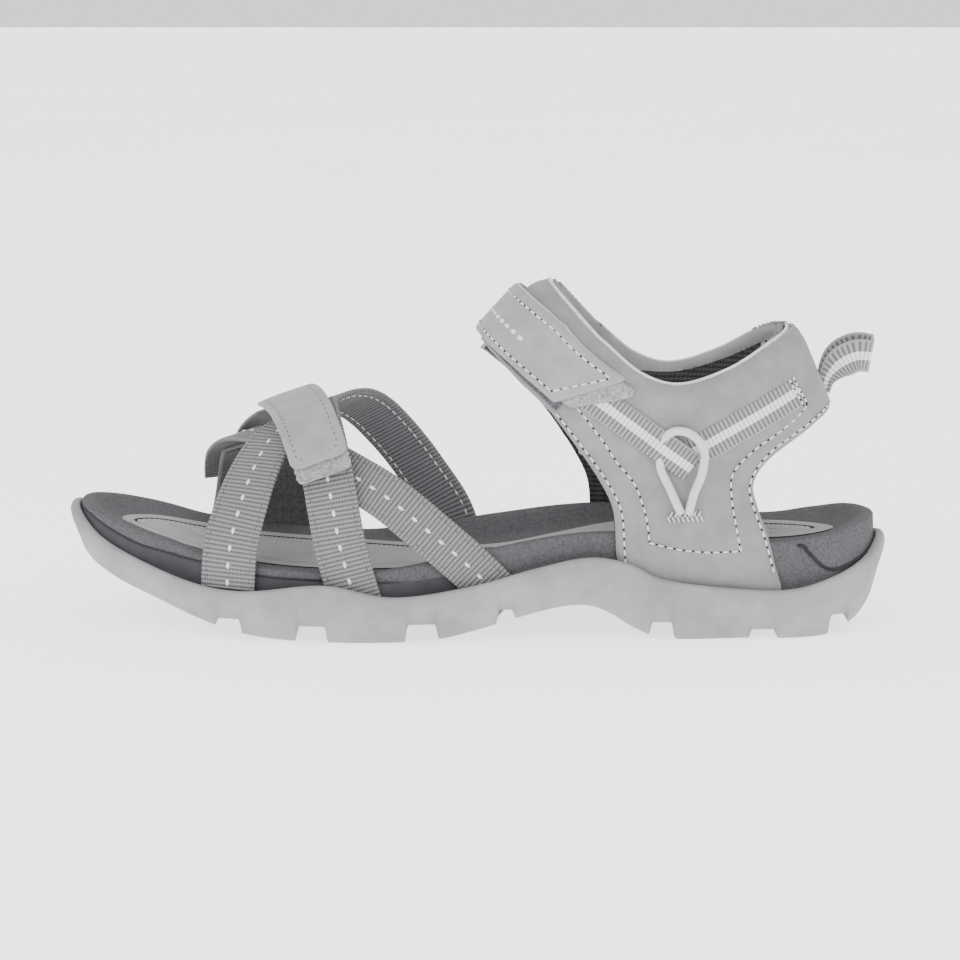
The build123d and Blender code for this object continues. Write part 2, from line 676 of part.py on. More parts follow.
# ---- ankle strap, its tab and their hook and loop patches ---------------------------------
lateral_patch_shell = shaft_shell(*PATCH_LAYER, (LATERAL,))
medial_patch_shell = shaft_shell(*PATCH_LAYER, (MEDIAL,))
hook_shell = shaft_shell(*HOOK_LAYER, (LATERAL,))
tab_shell = shaft_shell(*TAB_LAYER, BOTH_SIDES)

tab_face = band_face(TAB_END, TAB_LOW, TAB_HIGH)
strap_face = band_face(STRAP_END, TAB_LOW, TAB_HIGH)
ankle_loop_face = band_face(LOOP_PATCH_END, WING_LOW + LINING_MARGIN, TAB_HIGH - LINING_MARGIN)
hook_face = rounded_flat_face([on_instep(out, along) for out, along in HOOK_END], 1.0)

tab_prism = side_prism(tab_face, FAR_LATERAL, TAB_SEAM_Y - TAB_SETBACK)
strap_prism = side_prism(strap_face, TAB_SEAM_Y + TAB_SETBACK, FAR_MEDIAL)
loop_prism = side_prism(ankle_loop_face, FAR_LATERAL, SHAFT_CENTRE_Y - LAYER_GAP)
hook_prism = side_prism(hook_face, FAR_LATERAL, SHAFT_CENTRE_Y - LAYER_GAP)

with BuildPart() as ankle_tab:
    add(tab_shell)
    add(tab_prism, mode=Mode.INTERSECT)
with BuildPart() as ankle_strap:
    add(medial_patch_shell)
    add(strap_prism, mode=Mode.INTERSECT)
with BuildPart() as ankle_loop_patch:
    add(lateral_patch_shell)
    add(loop_prism, mode=Mode.INTERSECT)
with BuildPart() as ankle_hook_patch:
    add(hook_shell)
    add(hook_prism, mode=Mode.INTERSECT)

# ---- ribbon, elastic cord and pull loop ----------------------------------------------------
ribbon_face = ribbon_outline()
ribbon_prism = side_prism(ribbon_face, FAR_LATERAL, SHAFT_CENTRE_Y - LAYER_GAP)

with BuildPart() as heel_ribbon:
    add(lateral_patch_shell)
    add(ribbon_prism, mode=Mode.INTERSECT)

with BuildPart() as cord_loop:
    with BuildLine(Plane.XZ.offset(CORD_STAND_OFF)) as cord_path:
        FilletPolyline(*CORD_CORNERS, radius=CORD_RADII)
    with BuildSketch(Plane(origin=cord_path.line @ 0, z_dir=cord_path.line % 0)):
        Circle(CORD_RADIUS)
    sweep(path=cord_path.line)

tack_x, tack_z, tack_length, tack_height = CORD_BARTACK
with BuildPart() as cord_bartack:
    with BuildSketch(Plane.XZ.offset(CORD_STAND_OFF - BARTACK_DEPTH / 2)):
        with Locations((tack_x, tack_z)):
            RectangleRounded(tack_length, tack_height, BARTACK_CORNER)
    extrude(amount=BARTACK_DEPTH)

seam_x = smooth(HEEL_LINE, PULL_SEAM_Z)
seam_rise = 2 * SLOPE_STEP
seam_run = (
    smooth(HEEL_LINE, PULL_SEAM_Z + SLOPE_STEP) - smooth(HEEL_LINE, PULL_SEAM_Z - SLOPE_STEP)
)
seam_direction = Vector(seam_run, 0, seam_rise).normalized()
loop_direction = seam_direction.cross(Vector(0, 1, 0)).normalized() * -1
pull_clearance = loop_direction * (PULL_ROOT + GAP + LAYER_GAP)
pull_hinge = Vector(seam_x, SHAFT_CENTRE_Y, PULL_SEAM_Z) + pull_clearance
pull_plane = Plane(
    origin=pull_hinge - seam_direction * (PULL_WIDTH / 2),
    x_dir=loop_direction,
    z_dir=seam_direction,
)
pull_tip = PULL_LENGTH - PULL_FULLNESS

with BuildPart() as pull_loop:
    with BuildSketch(pull_plane):
        with BuildLine():
            drop_line(0, PULL_ROOT, pull_tip, PULL_FULLNESS)
        make_face()
        with BuildLine():
            drop_line(PULL_STITCHED, PULL_INNER_ROOT, pull_tip, PULL_FULLNESS - PULL_RIBBON)
        make_face(mode=Mode.SUBTRACT)
    extrude(amount=PULL_WIDTH)

PARTS = {
    "outsole": outsole,
    "footbed": footbed,
    "footbed_inlay": footbed_inlay,
    "shank_plate": shank_plate,
    "toe_strap_lining": toe_strap_lining,
    "toe_strap": toe_strap,
    "cross_strap": cross_strap,
    "middle_strap": middle_strap,
    "forefoot_loop_patch": forefoot_loop_patch,
    "forefoot_hook_patch": forefoot_hook_patch,
    "forefoot_tab": forefoot_tab,
    "adjuster_strap": adjuster_strap,
    "medial_toe_panel": medial_toe_panel,
    "toe_panel_lining": toe_panel_lining,
    "lateral_quarter": lateral_quarter,
    "medial_quarter": medial_quarter,
    "collar_foam": collar_foam,
    "quarter_lining": quarter_lining,
    "ankle_tab": ankle_tab,
    "ankle_strap": ankle_strap,
    "ankle_loop_patch": ankle_loop_patch,
    "ankle_hook_patch": ankle_hook_patch,
    "heel_ribbon": heel_ribbon,
    "cord_loop": cord_loop,
    "cord_bartack": cord_bartack,
    "pull_loop": pull_loop,
}

os.makedirs("parts", exist_ok=True)
for node, piece in PARTS.items():
    piece.part.label = node
    export_step(piece.part, f"parts/{node}.step")
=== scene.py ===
"""Looks of the sport sandal: woven straps, stitched upper, padded collar and moulded sole.

Geometry is worked out in millimetres in the row frame (+X toe to heel, -Y lateral, +Z up)
and scaled to metres when a mesh is made.
"""
import math

import bmesh
import bpy
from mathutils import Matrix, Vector, kdtree, noise
from mathutils.geometry import delaunay_2d_cdt


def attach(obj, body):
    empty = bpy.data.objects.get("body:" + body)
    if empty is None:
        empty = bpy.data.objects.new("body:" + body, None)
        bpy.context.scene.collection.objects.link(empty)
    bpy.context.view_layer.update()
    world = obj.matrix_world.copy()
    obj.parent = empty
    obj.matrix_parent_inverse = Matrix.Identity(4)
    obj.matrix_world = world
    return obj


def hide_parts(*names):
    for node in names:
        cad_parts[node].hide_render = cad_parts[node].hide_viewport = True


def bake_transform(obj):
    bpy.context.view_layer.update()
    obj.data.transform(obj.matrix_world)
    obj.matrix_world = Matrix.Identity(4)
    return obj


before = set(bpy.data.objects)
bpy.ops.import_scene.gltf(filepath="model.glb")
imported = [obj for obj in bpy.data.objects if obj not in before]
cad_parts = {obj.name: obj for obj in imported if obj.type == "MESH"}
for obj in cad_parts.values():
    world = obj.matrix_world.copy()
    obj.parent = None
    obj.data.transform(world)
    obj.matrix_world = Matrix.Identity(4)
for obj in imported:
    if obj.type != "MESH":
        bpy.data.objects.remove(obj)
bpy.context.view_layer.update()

MM = 0.001

# ---- driving dimensions, as in the CAD part, in millimetres --------------------------
SOLE_LATERAL = [
    (-131.2, 6), (-126.5, -10), (-112, -23), (-90, -34), (-60, -42), (-30, -44),
    (0, -41), (40, -38), (80, -37.5), (106, -34), (122, -22), (128.6, -5),
]
SOLE_MEDIAL = [
    (-131.2, 6), (-128, 19), (-115, 32), (-92, 42), (-60, 46), (-30, 42.5),
    (0, 35), (25, 29.5), (55, 28.5), (85, 29), (110, 25), (124, 13), (128.6, -5),
]
RIM_LINE = [
    (-130, 35.5), (-122, 29), (-108, 23), (-88, 17), (-73, 15.6), (-48, 18.2),
    (-27, 14.6), (-3, 17.5), (18, 23), (34, 26), (46, 24), (56, 19.3),
    (75, 16.5), (96, 15.5), (112, 19), (123, 23.5), (128, 28),
]
GROUND_LINE = [
    (-132, 32), (-127, 23.5), (-116, 16.5), (-100, 10.5), (-84, 4.5), (-70, 1.2),
    (-50, 0), (-25, 0), (-12, 0.8), (0, 3.6), (14, 7.6), (26, 10.3), (34, 10.4),
    (41, 7.6), (48, 3.2), (57, 0), (80, 0), (106, 0), (114, 2), (122, 8), (128, 18),
]
TREAD_GROOVES = [
    (-78, 7.5, 6.2), (-52, 9.0, 4.8), (-18, 9.5, 5.4), (8, 5.0, 9.5),
    (56.5, 7.0, 5.0), (88, 8.0, 2.6), (112, 6.0, 6.0),
]
BORDER_LINE = [
    (-140, 40), (-126, 36.5), (-112, 32.6), (-90, 26.5), (-65, 22.5), (-38, 21.2),
    (-15, 24.5), (5, 28.5), (25, 32), (42, 33), (70, 31), (92, 29.8), (112, 32),
    (122, 34.2), (135, 36),
]
DISH_LINE = [
    (-140, 37), (-118, 31), (-105, 29), (-90, 25.6), (-70, 22), (-45, 20.4), (-10, 20.2),
    (6, 21.6), (25, 25.5), (44, 28.6), (70, 28.8), (92, 28.8), (112, 29.4), (135, 31),
]
INLAY_LATERAL = [
    (-117.5, 6), (-108, -8), (-88, -18.5), (-60, -25), (-34, -25), (-8, -19),
    (20, -15), (50, -17), (80, -19), (100, -16), (113, -4),
]
INLAY_MEDIAL = [
    (-117.5, 6), (-109, 17), (-90, 24), (-62, 27), (-34, 22), (-5, 12), (20, 8),
    (50, 11.5), (80, 13), (101, 9), (113, -4),
]
FOOT_LATERAL = [(-100, -23.5), (-90, -28), (-75, -32.5), (-60, -36), (-45, -37.8),
                (-30, -38.2), (-15, -37), (0, -35.2), (15, -34)]
FOOT_MEDIAL = [(-100, 32.5), (-90, 36), (-75, 39.5), (-60, 40.7), (-45, 39.8), (-30, 37),
               (-15, 32.6), (0, 28.6), (15, 24)]
FOOT_BASE = [(-100, 29), (-90, 26.5), (-70, 22.4), (-40, 20.5), (-12, 21), (15, 25)]
FOOT_CREST = [(-100, 44.5), (-85, 51), (-70, 57), (-57, 61.7), (-42, 67), (-28, 73),
              (-12, 80), (5, 89), (20, 97)]
TOE_STRAP_ROUTE = [
    (-77.6, -15, 0.8), (-77.2, 0, 0.8), (-76.4, 12, 0.8), (-74.6, 25, 0.8),
    (-70.2, 47, 1.3), (-64, 66, 2.6), (-56, 79, 3.1), (-48.5, 95, 3.1), (-40, 114, 2.4),
    (-30, 138, 0.8), (-20, 158, 0.8), (-12, 172, 0.8), (-8.5, 181, 0.8), (-6, 187, 0.8),
]
CROSS_STRAP_ROUTE = [
    (9, -11, 0.2), (4, -6.5, 0.2), (-6, 3.7, 0.2), (-17, 14.7, 0.2), (-29, 27.5, 0.2),
    (-38.6, 37.7, 0.2), (-48, 49.6, 0.2), (-58, 68, 0.2), (-67.5, 86, 0.8),
    (-75.5, 103, 2.5), (-80.5, 120, 2.5), (-82.5, 136, 2.5), (-83.2, 152, 2.5),
]
MIDDLE_STRAP_ROUTE = [
    (-38, -10, 0.2), (-39.6, -4, 0.2), (-41.2, 3, 0.2), (-43, 11.8, 0.6),
    (-44.2, 21, 2.0), (-45.2, 30, 3.6), (-46.2, 40, 5.0), (-47.6, 52, 5.6),
    (-49.5, 66, 5.6), (-51, 79, 5.6),
]
LOOP_PATCH_ROUTE = [(-46.2, 40, 6.7), (-47.6, 52, 7.1), (-49.5, 66, 7.1), (-50.7, 76, 7.1)]
TAB_ROUTE = [(-60, 96, 9.6), (-57.6, 88, 9.6), (-53.5, 72, 9.6), (-50, 56, 9.6),
             (-47, 41, 9.6)]
HOOK_PATCH_ROUTE = [(-54.5, 74, 8.7), (-51.4, 62, 8.7), (-48.4, 48, 8.7), (-45.8, 36, 8.7)]
ADJUSTER_ROUTE = [(-62.2, 101.5, 6.6), (-65.5, 109, 5.8), (-69, 120, 5.2),
                  (-71.4, 133, 4.8), (-72.5, 146, 4.8)]
TOE_PANEL_ROUTE = [(-71.2, 187, 0.9), (-71.2, 176, 0.9), (-71.6, 160, 0.9),
                   (-72.4, 140, 0.9), (-73, 120, 0.9)]
TOE_PANEL_WIDTHS = [37, 36, 32, 27, 22]
WEBBING = 1.2
PANEL = 1.2

SHAFT_CENTRE_Y = -5.0
SHAFT_HALF_WIDTH = 29.0
SHAFT_FRONT = 60.0
INSTEP_LEAN = 0.92
INSTEP_X = 4.9
INSTEP_Z = 95.6
HEEL_LINE = [(12, 124), (22, 122), (35, 117), (50, 113.5), (62, 112.2), (70, 110.6),
             (80, 106.3), (88, 102.8), (95, 99.5), (104, 98.5), (116, 102)]
BACK_FULLNESS = [(12, 4.6), (24, 4.2), (50, 3.0), (75, 2.45), (116, 2.4)]
FRONT_FULLNESS = 2.3
QUARTER_LOWER_LEAD = [(21.5, 70.5), (29.3, 60.5), (37, 49.5), (41.5, 40), (42.5, 28)]
QUARTER_BACK = [(94, 16), (90, 31), (86, 42), (85.3, 48.5), (91, 56.5), (104, 65), (112.5, 71)]
COLLAR_LINE = [(101, 95), (92, 91), (78, 83.5), (62, 79), (49, 82.5), (37, 91.3)]
MEDIAL_LEAD_SHIFT = -6.0
WING_LOW = 66.8
WING_HIGH = 91.8
TAB_LOW = 70.8
TAB_HIGH = 88.0
LATERAL_WING_END = -5.2   # the wings end at these y over the instep
MEDIAL_WING_END = 8.0
TAB_SEAM_Y = 9.0
LEG_BOTTOM = 13.0
TAB_END = [(32.5, 70.8), (21.5, 90.8), (45, 91)]
HOOK_END = [(46, 72.5), (28, 72.5), (16.6, 87.5), (18, 90), (46, 90)]
RIBBON_RUNS = [((33.5, 76.5), (63, 54.8)), ((63.5, 57.4), (98.4, 76.4))]
RIBBON_WIDTH = 9.5
CORD_RADIUS = 1.35
PULL_WIDTH = 10.4

FRONT_STRETCH = math.hypot(INSTEP_LEAN, 1)
WIDTH_DIRECTION = Vector((INSTEP_LEAN, 0, 1)).normalized()
OUT_DIRECTION = Vector((-1, 0, INSTEP_LEAN)).normalized()
TURN_SCALE = 45.0         # turns round the shaft, in radians, times this are about millimetres
HEEL_TURN = math.pi - 0.02   # the quarters meet just short of half a turn
SIDES = ((-1, "lateral"), (1, "medial"))


# ---- curves --------------------------------------------------------------------------
def smooth(table, x):
    """Value at x of a smooth curve through the table's points."""
    last = len(table) - 1
    i = 0
    while i < last - 1 and x > table[i + 1][0]:
        i += 1
    x0, y0 = table[i]
    x1, y1 = table[i + 1]
    before = table[max(i - 1, 0)]
    after = table[min(i + 2, last)]
    slope0 = (y1 - before[1]) / (x1 - before[0])
    slope1 = (after[1] - y0) / (after[0] - x0)
    step = x1 - x0
    t = (x - x0) / step
    return (
        y0 * (1 + 2 * t) * (1 - t) ** 2
        + slope0 * step * t * (1 - t) ** 2
        + y1 * t * t * (3 - 2 * t)
        + slope1 * step * t * t * (t - 1)
    )


def ease(share):
    """Smooth step from 0 to 1, held at both ends."""
    share = min(1.0, max(0.0, share))
    return share * share * (3 - 2 * share)

def blend_point(a, b, c, d, t):
    """Catmull-Rom point between b and c."""
    out = []
    for p0, p1, p2, p3 in zip(a, b, c, d):
        out.append(0.5 * (
            2 * p1 + (p2 - p0) * t + (2 * p0 - 5 * p1 + 4 * p2 - p3) * t * t
            + (3 * p1 - p0 - 3 * p2 + p3) * t * t * t
        ))
    return tuple(out)


def curve_through(points, per_span, closed=False):
    """Dense smooth curve through points."""
    count = len(points)
    spans = count if closed else count - 1
    dense = []
    for i in range(spans):
        if closed:
            a, b, c, d = (points[(i + k) % count] for k in (-1, 0, 1, 2))
        else:
            a, b = points[max(i - 1, 0)], points[i]
            c, d = points[i + 1], points[min(i + 2, count - 1)]
        for k in range(per_span):
            dense.append(blend_point(a, b, c, d, k / per_span))
    if not closed:
        dense.append(tuple(points[-1]))
    return dense


def spaced(points, step, closed=False):
    """Polyline resampled at even steps."""
    row = [Vector(p) for p in points]
    if closed:
        row.append(row[0])
    reach = [0.0]
    for a, b in zip(row, row[1:]):
        reach.append(reach[-1] + (b - a).length)
    total = reach[-1]
    count = max(2, round(total / step))
    out = []
    i = 0
    for k in range(count if closed else count + 1):
        want = total * k / count
        while i < len(row) - 2 and reach[i + 1] < want:
            i += 1
        span = reach[i + 1] - reach[i]
        t = 0 if span == 0 else (want - reach[i]) / span
        out.append(row[i].lerp(row[i + 1], t))
    return out


def rounded(points, radius, steps=5):
    """Closed 2-D polygon with its corners rounded."""
    out = []
    count = len(points)
    for i in range(count):
        before, here, after = (Vector(points[(i + k) % count]) for k in (-1, 0, 1))
        cut_in = min(radius, (here - before).length / 2)
        cut_out = min(radius, (after - here).length / 2)
        start = here + (before - here).normalized() * cut_in
        end = here + (after - here).normalized() * cut_out
        for k in range(steps + 1):
            t = k / steps
            out.append(start.lerp(here, t).lerp(here.lerp(end, t), t))
    return out


# ---- mesh helpers --------------------------------------------------------------------
def new_object(name, points, faces, material, uvs=None):
    """Mesh object from points in millimetres; uvs are per vertex, in millimetres."""
    mesh = bpy.data.meshes.new(name)
    mesh.from_pydata([Vector(p) * MM for p in points], [], faces)
    mesh.update()
    if uvs:
        layer = mesh.uv_layers.new(name="cloth")
        for loop in mesh.loops:
            layer.data[loop.index].uv = uvs[loop.vertex_index]
    for polygon in mesh.polygons:
        polygon.use_smooth = True
    mesh.materials.append(material)
    obj = bpy.data.objects.new(name, mesh)
    bpy.context.scene.collection.objects.link(obj)
    return obj


def fix_normals(obj):
    """Consistent outward normals."""
    work = bmesh.new()
    work.from_mesh(obj.data)
    bmesh.ops.recalc_face_normals(work, faces=work.faces)
    work.to_mesh(obj.data)
    work.free()


def loft_rings(rings, capped=False):
    """Points and quads joining closed rings of equal length, with end caps if capped."""
    points = [p for ring in rings for p in ring]
    size = len(rings[0])
    faces = []
    for i in range(len(rings) - 1):
        for j in range(size):
            k = (j + 1) % size
            faces.append((i * size + j, i * size + k, (i + 1) * size + k, (i + 1) * size + j))
    if capped:
        faces.append(tuple(reversed(range(size))))
        faces.append(tuple((len(rings) - 1) * size + j for j in range(size)))
    return points, faces


def tube(name, path, radius, material, around=20):
    """Round tube along a path, with its length and girth as cloth coordinates."""
    rings, uvs = [], []
    reach = 0.0
    for i, spot in enumerate(path):
        ahead = (path[min(i + 1, len(path) - 1)] - path[max(i - 1, 0)]).normalized()
        side = ahead.cross(Vector((0, 1, 0))).normalized()
        up = side.cross(ahead).normalized()
        if i:
            reach += (spot - path[i - 1]).length
        ring = []
        for k in range(around):
            turn = 2 * math.pi * k / around
            ring.append(spot + (side * math.cos(turn) + up * math.sin(turn)) * radius)
            uvs.append((reach, turn * radius))
        rings.append(ring)
    points, faces = loft_rings(rings, capped=True)
    piece = new_object(name, points, faces, material, uvs)
    fix_normals(piece)
    return piece


# ---- materials -----------------------------------------------------------------------
def to_linear(value):
    """sRGB 0-255 to linear."""
    v = value / 255
    return v / 12.92 if v <= 0.04045 else ((v + 0.055) / 1.055) ** 2.4


def colour(*rgb):
    """sRGB 0-255 triple to linear RGBA."""
    if len(rgb) == 1:
        rgb = rgb * 3
    return (*(to_linear(v) for v in rgb), 1.0)


class Shader:
    """Small helper round one material's node tree."""

    def __init__(self, name, roughness=0.7, specular=0.3, sheen=0.0):
        self.material = bpy.data.materials.new(name)
        self.material.use_nodes = True
        self.tree = self.material.node_tree
        self.shader = self.tree.nodes["Principled BSDF"]
        self.shader.inputs["Roughness"].default_value = roughness
        self.shader.inputs["Specular IOR Level"].default_value = specular
        self.shader.inputs["Sheen Weight"].default_value = sheen
        self.shader.inputs["Sheen Roughness"].default_value = 0.5

    def node(self, kind, **settings):
        made = self.tree.nodes.new(kind)
        for key, value in settings.items():
            setattr(made, key, value)
        return made

    def link(self, output, target):
        self.tree.links.new(output, target)

    def place(self, which="Object"):
        return self.node("ShaderNodeTexCoord").outputs[which]

    def noise(self, scale, detail=3.0, rough=0.6, where=None):
        made = self.node("ShaderNodeTexNoise")
        made.inputs["Scale"].default_value = scale
        made.inputs["Detail"].default_value = detail
        made.inputs["Roughness"].default_value = rough
        self.link(where or self.place(), made.inputs["Vector"])
        return made.outputs["Fac"]

    def math(self, operation, a, b=None):
        made = self.node("ShaderNodeMath", operation=operation)
        for slot, value in zip(made.inputs, (a, b)):
            if value is None:
                continue
            if isinstance(value, (int, float)):
                slot.default_value = value
            else:
                self.link(value, slot)
        return made.outputs[0]

    def axes(self, where):
        made = self.node("ShaderNodeSeparateXYZ")
        self.link(where, made.inputs[0])
        return made.outputs

    def ramp(self, factor, dark, light, low=0.3, high=0.7):
        made = self.node("ShaderNodeValToRGB")
        made.color_ramp.elements[0].position = low
        made.color_ramp.elements[0].color = dark
        made.color_ramp.elements[1].position = high
        made.color_ramp.elements[1].color = light
        self.link(factor, made.inputs[0])
        return made.outputs[0]

    def mix(self, factor, a, b):
        made = self.node("ShaderNodeMix", data_type="RGBA")
        self.link(factor, made.inputs[0])
        for slot, value in ((made.inputs[6], a), (made.inputs[7], b)):
            if isinstance(value, tuple):
                slot.default_value = value
            else:
                self.link(value, slot)
        return made.outputs[2]

    def paint(self, value):
        self.link(value, self.shader.inputs["Base Color"])

    def bump(self, height, strength, distance):
        made = self.node("ShaderNodeBump")
        made.inputs["Strength"].default_value = strength
        made.inputs["Distance"].default_value = distance
        self.link(height, made.inputs["Height"])
        self.link(made.outputs[0], self.shader.inputs["Normal"])


def grained(name, dark, light, scale, roughness, bump_scale, bump_depth, sheen=0.0,
            low=0.35, high=0.65):
    """Matte surface with fine grain and soft colour variation."""
    look = Shader(name, roughness=roughness, sheen=sheen)
    look.paint(look.ramp(look.noise(scale), dark, light, low, high))
    look.bump(look.noise(bump_scale, 2.0), 0.5, bump_depth)
    return look.material


def woven(name, dark, light, pitch_along, pitch_across, depth, roughness=0.85):
    """Ribbed weave in the strip's own millimetres: u along the strap, v across it. The colour
    follows the weave's height, darker in the gaps as painted shade, plus a random mottle in the
    yarn's own tone.
    """
    look = Shader(name, roughness=roughness, specular=0.2, sheen=0.15)
    u, v, _ = look.axes(look.place("UV"))
    ribs = look.math("SINE", look.math("MULTIPLY", u, 2 * math.pi / pitch_along))
    yarns = look.math("SINE", look.math("MULTIPLY", v, 2 * math.pi / pitch_across))
    both = look.math("MULTIPLY_ADD", yarns, 0.35)
    look.link(ribs, both.node.inputs[2])
    height = look.math("MULTIPLY_ADD", both, 0.37)
    height.node.inputs[2].default_value = 0.5
    mottle = look.math("MULTIPLY_ADD", look.noise(2600.0, 2.0), 0.6)
    mottle.node.inputs[2].default_value = -0.3
    # colour from height: painted shade in the gaps between ribs and yarns; the mottle is the
    # yarn's own uneven tone
    look.paint(look.ramp(look.math("ADD", height, mottle), dark, light, 0.05, 0.8))
    look.bump(height, 0.6, depth)
    return look.material


def grosgrain(name, dark, light, stripe, pitch, stripe_half, half_width):
    """Ribbed ribbon with a pale centre stripe; v is 0 on the middle line."""
    look = Shader(name, roughness=0.8, specular=0.25, sheen=0.15)
    u, v, _ = look.axes(look.place("UV"))
    ribs = look.math("MULTIPLY_ADD", look.math("SINE", look.math(
        "MULTIPLY", u, 2 * math.pi / pitch)), 0.5)
    ribs.node.inputs[2].default_value = 0.5
    body = look.ramp(ribs, dark, light, 0.15, 0.85)
    bright = look.ramp(ribs, tuple(c * 0.55 for c in stripe[:3]) + (1.0,), stripe, 0.0, 0.5)
    inside = look.math("LESS_THAN", look.math("ABSOLUTE", v), stripe_half)
    edge = look.math("GREATER_THAN", look.math("ABSOLUTE", v), half_width)
    look.paint(look.mix(edge, look.mix(inside, body, bright), light))
    look.bump(ribs, 0.6, 0.0003)
    return look.material


RUBBER = grained("outsole_rubber_look", colour(137, 137, 139), colour(155, 155, 157), 60.0,
                 0.75, 1800.0, 0.0002)
BAND = grained("footbed_band_look", colour(74, 74, 76), colour(94, 94, 97), 1400.0,
               0.9, 1500.0, 0.0003)
FOAM = grained("footbed_foam_look", colour(62, 62, 65), colour(70, 70, 74), 90.0,
               0.85, 2200.0, 0.0002)
INLAY = grained("inlay_look", colour(150, 151, 152), colour(158, 159, 160), 120.0,
                0.8, 1700.0, 0.0002)
# near-black painted shade: for the inlay's recessed edge, its oval grooves and the heel groove
PAINTED_SHADE = grained("painted_groove_shade_look", colour(34, 34, 36), colour(50, 50, 52), 200.0,
                     0.85, 1700.0, 0.0002)
WEB = woven("webbing_look", colour(82, 81, 83), colour(138, 136, 138), 1.35, 0.9, 0.0003)
TAPE = woven("dark_tape_look", colour(80, 80, 83), colour(136, 135, 138), 1.35, 0.9, 0.0003)
MICRO = grained("microfibre_look", colour(131, 130, 133), colour(143, 142, 145), 140.0,
                0.62, 3200.0, 0.00012, sheen=0.1)
MICRO_TAB = grained("tab_microfibre_look", colour(146, 145, 147), colour(157, 156, 158), 150.0,
                    0.55, 3200.0, 0.0001, sheen=0.1)
RAW_EDGE = grained("raw_edge_look", colour(205, 205, 203), colour(228, 228, 226), 500.0,
                   0.8, 2500.0, 0.0001)
CREAM = grained("cream_edge_look", colour(196, 194, 188), colour(216, 214, 208), 400.0,
                0.8, 2500.0, 0.0001)
DARK_LINING = grained("dark_lining_look", colour(78, 78, 81), colour(100, 100, 103), 900.0,
                      0.95, 1600.0, 0.0004, sheen=0.2)
LOOP_PILE = grained("loop_pile_look", colour(60, 60, 63), colour(104, 104, 108), 1300.0,
                    0.95, 1500.0, 0.0007, sheen=0.3)
HOOK_PILE = grained("hook_tape_look", colour(118, 118, 120), colour(172, 172, 173), 1300.0,
                    0.9, 1900.0, 0.0005, sheen=0.2)
THREAD_WHITE = grained("white_thread_look", colour(222, 222, 222), colour(240, 240, 240),
                       900.0, 0.6, 3000.0, 0.0001)
THREAD_DARK = grained("dark_thread_look", colour(84, 84, 87), colour(112, 112, 115),
                      900.0, 0.7, 3000.0, 0.0001)
# near-black beads that paint the shade inside needle holes
HOLE_SHADE = grained("needle_hole_painted_shade_look", colour(30, 30, 32), colour(44, 44, 46), 900.0, 0.9, 3000.0,
               0.0001)
RIBBON = grosgrain("ribbon_look", colour(104, 103, 105), colour(158, 157, 159),
                   colour(240, 240, 240), 1.37, 1.35, 4.5)


def mesh_lining():
    """Dark spacer mesh with fine ribs that follow the heel."""
    look = Shader("mesh_lining_look", roughness=0.95, specular=0.15, sheen=0.1)
    u, v, _ = look.axes(look.place("UV"))
    ribs = look.math("SINE", look.math("MULTIPLY", v, 2 * math.pi / 1.6))
    holes = look.math("SINE", look.math("MULTIPLY", u, 2 * math.pi / 1.1))
    both = look.math("MULTIPLY_ADD", look.math("ADD", ribs, look.math(
        "MULTIPLY", holes, 0.5)), 0.33)
    both.node.inputs[2].default_value = 0.5
    look.paint(look.ramp(both, colour(46, 46, 48), colour(76, 76, 78), 0.1, 0.9))
    look.bump(both, 0.8, 0.0005)
    return look.material


def braid():
    """Braided elastic."""
    look = Shader("white_elastic_look", roughness=0.75, specular=0.3)
    u, v, _ = look.axes(look.place("UV"))
    left = look.math("SINE", look.math("MULTIPLY", look.math("ADD", u, v), 2 * math.pi / 1.1))
    right = look.math("SINE", look.math(
        "MULTIPLY", look.math("SUBTRACT", u, v), 2 * math.pi / 1.1))
    height = look.math("MULTIPLY_ADD", look.math("MULTIPLY", left, right), 0.5)
    height.node.inputs[2].default_value = 0.5
    look.paint(look.ramp(height, colour(196, 196, 198), colour(240, 240, 240), 0.1, 0.8))
    look.bump(height, 0.7, 0.0003)
    return look.material


MESH = mesh_lining()
ELASTIC = braid()


# ---- sole ----------------------------------------------------------------------------
OUTLINE_STEP = 0.55
SPINE_TOE = -86.0
SPINE_HEEL = 92.0


class Plan:
    """Closed plan outline with rings stepped in towards its spine."""

    def __init__(self, lateral, medial, step):
        control = lateral + list(reversed(medial))[1:-1]
        self.edge = spaced(curve_through(control, 24, closed=True), step, closed=True)
        self.lateral = lateral
        self.medial = medial

    def spine(self, point):
        x = min(max(point.x, SPINE_TOE), SPINE_HEEL)
        return Vector((x, (smooth(self.lateral, x) + smooth(self.medial, x)) / 2))

    def ring(self, inset, height):
        """Points inset from the edge; height gives z from the plan point and its edge point."""
        row = []
        for point in self.edge:
            heart = self.spine(point)
            reach = heart - point
            depth = inset(point.x) if callable(inset) else inset
            moved = point + reach * min(1.0, depth / reach.length)
            row.append((moved.x, moved.y, height(moved, point)))
        return row


def ground(point, edge):
    """Underside of the tread with its grooves."""
    floor = smooth(GROUND_LINE, point.x)
    for centre, width, top in TREAD_GROOVES:
        side = (width / 2 + 0.4 - abs(point.x - centre)) / 0.8
        if side > 0 and top > floor:
            floor += (top - floor) * min(1.0, side)
    for k in range(-10, 11):
        middle = k * 12.4 - 2
        near = 1 - abs(point.x - middle) / 0.9
        inner = abs(point.y - edge.y) + abs(point.x - edge.x)
        if near > 0 and inner > 6:
            floor += 1.2 * min(1.0, near * 2)
    return floor


def rim(point, edge):
    """Top edge of the outsole's wall."""
    return smooth(RIM_LINE, edge.x)


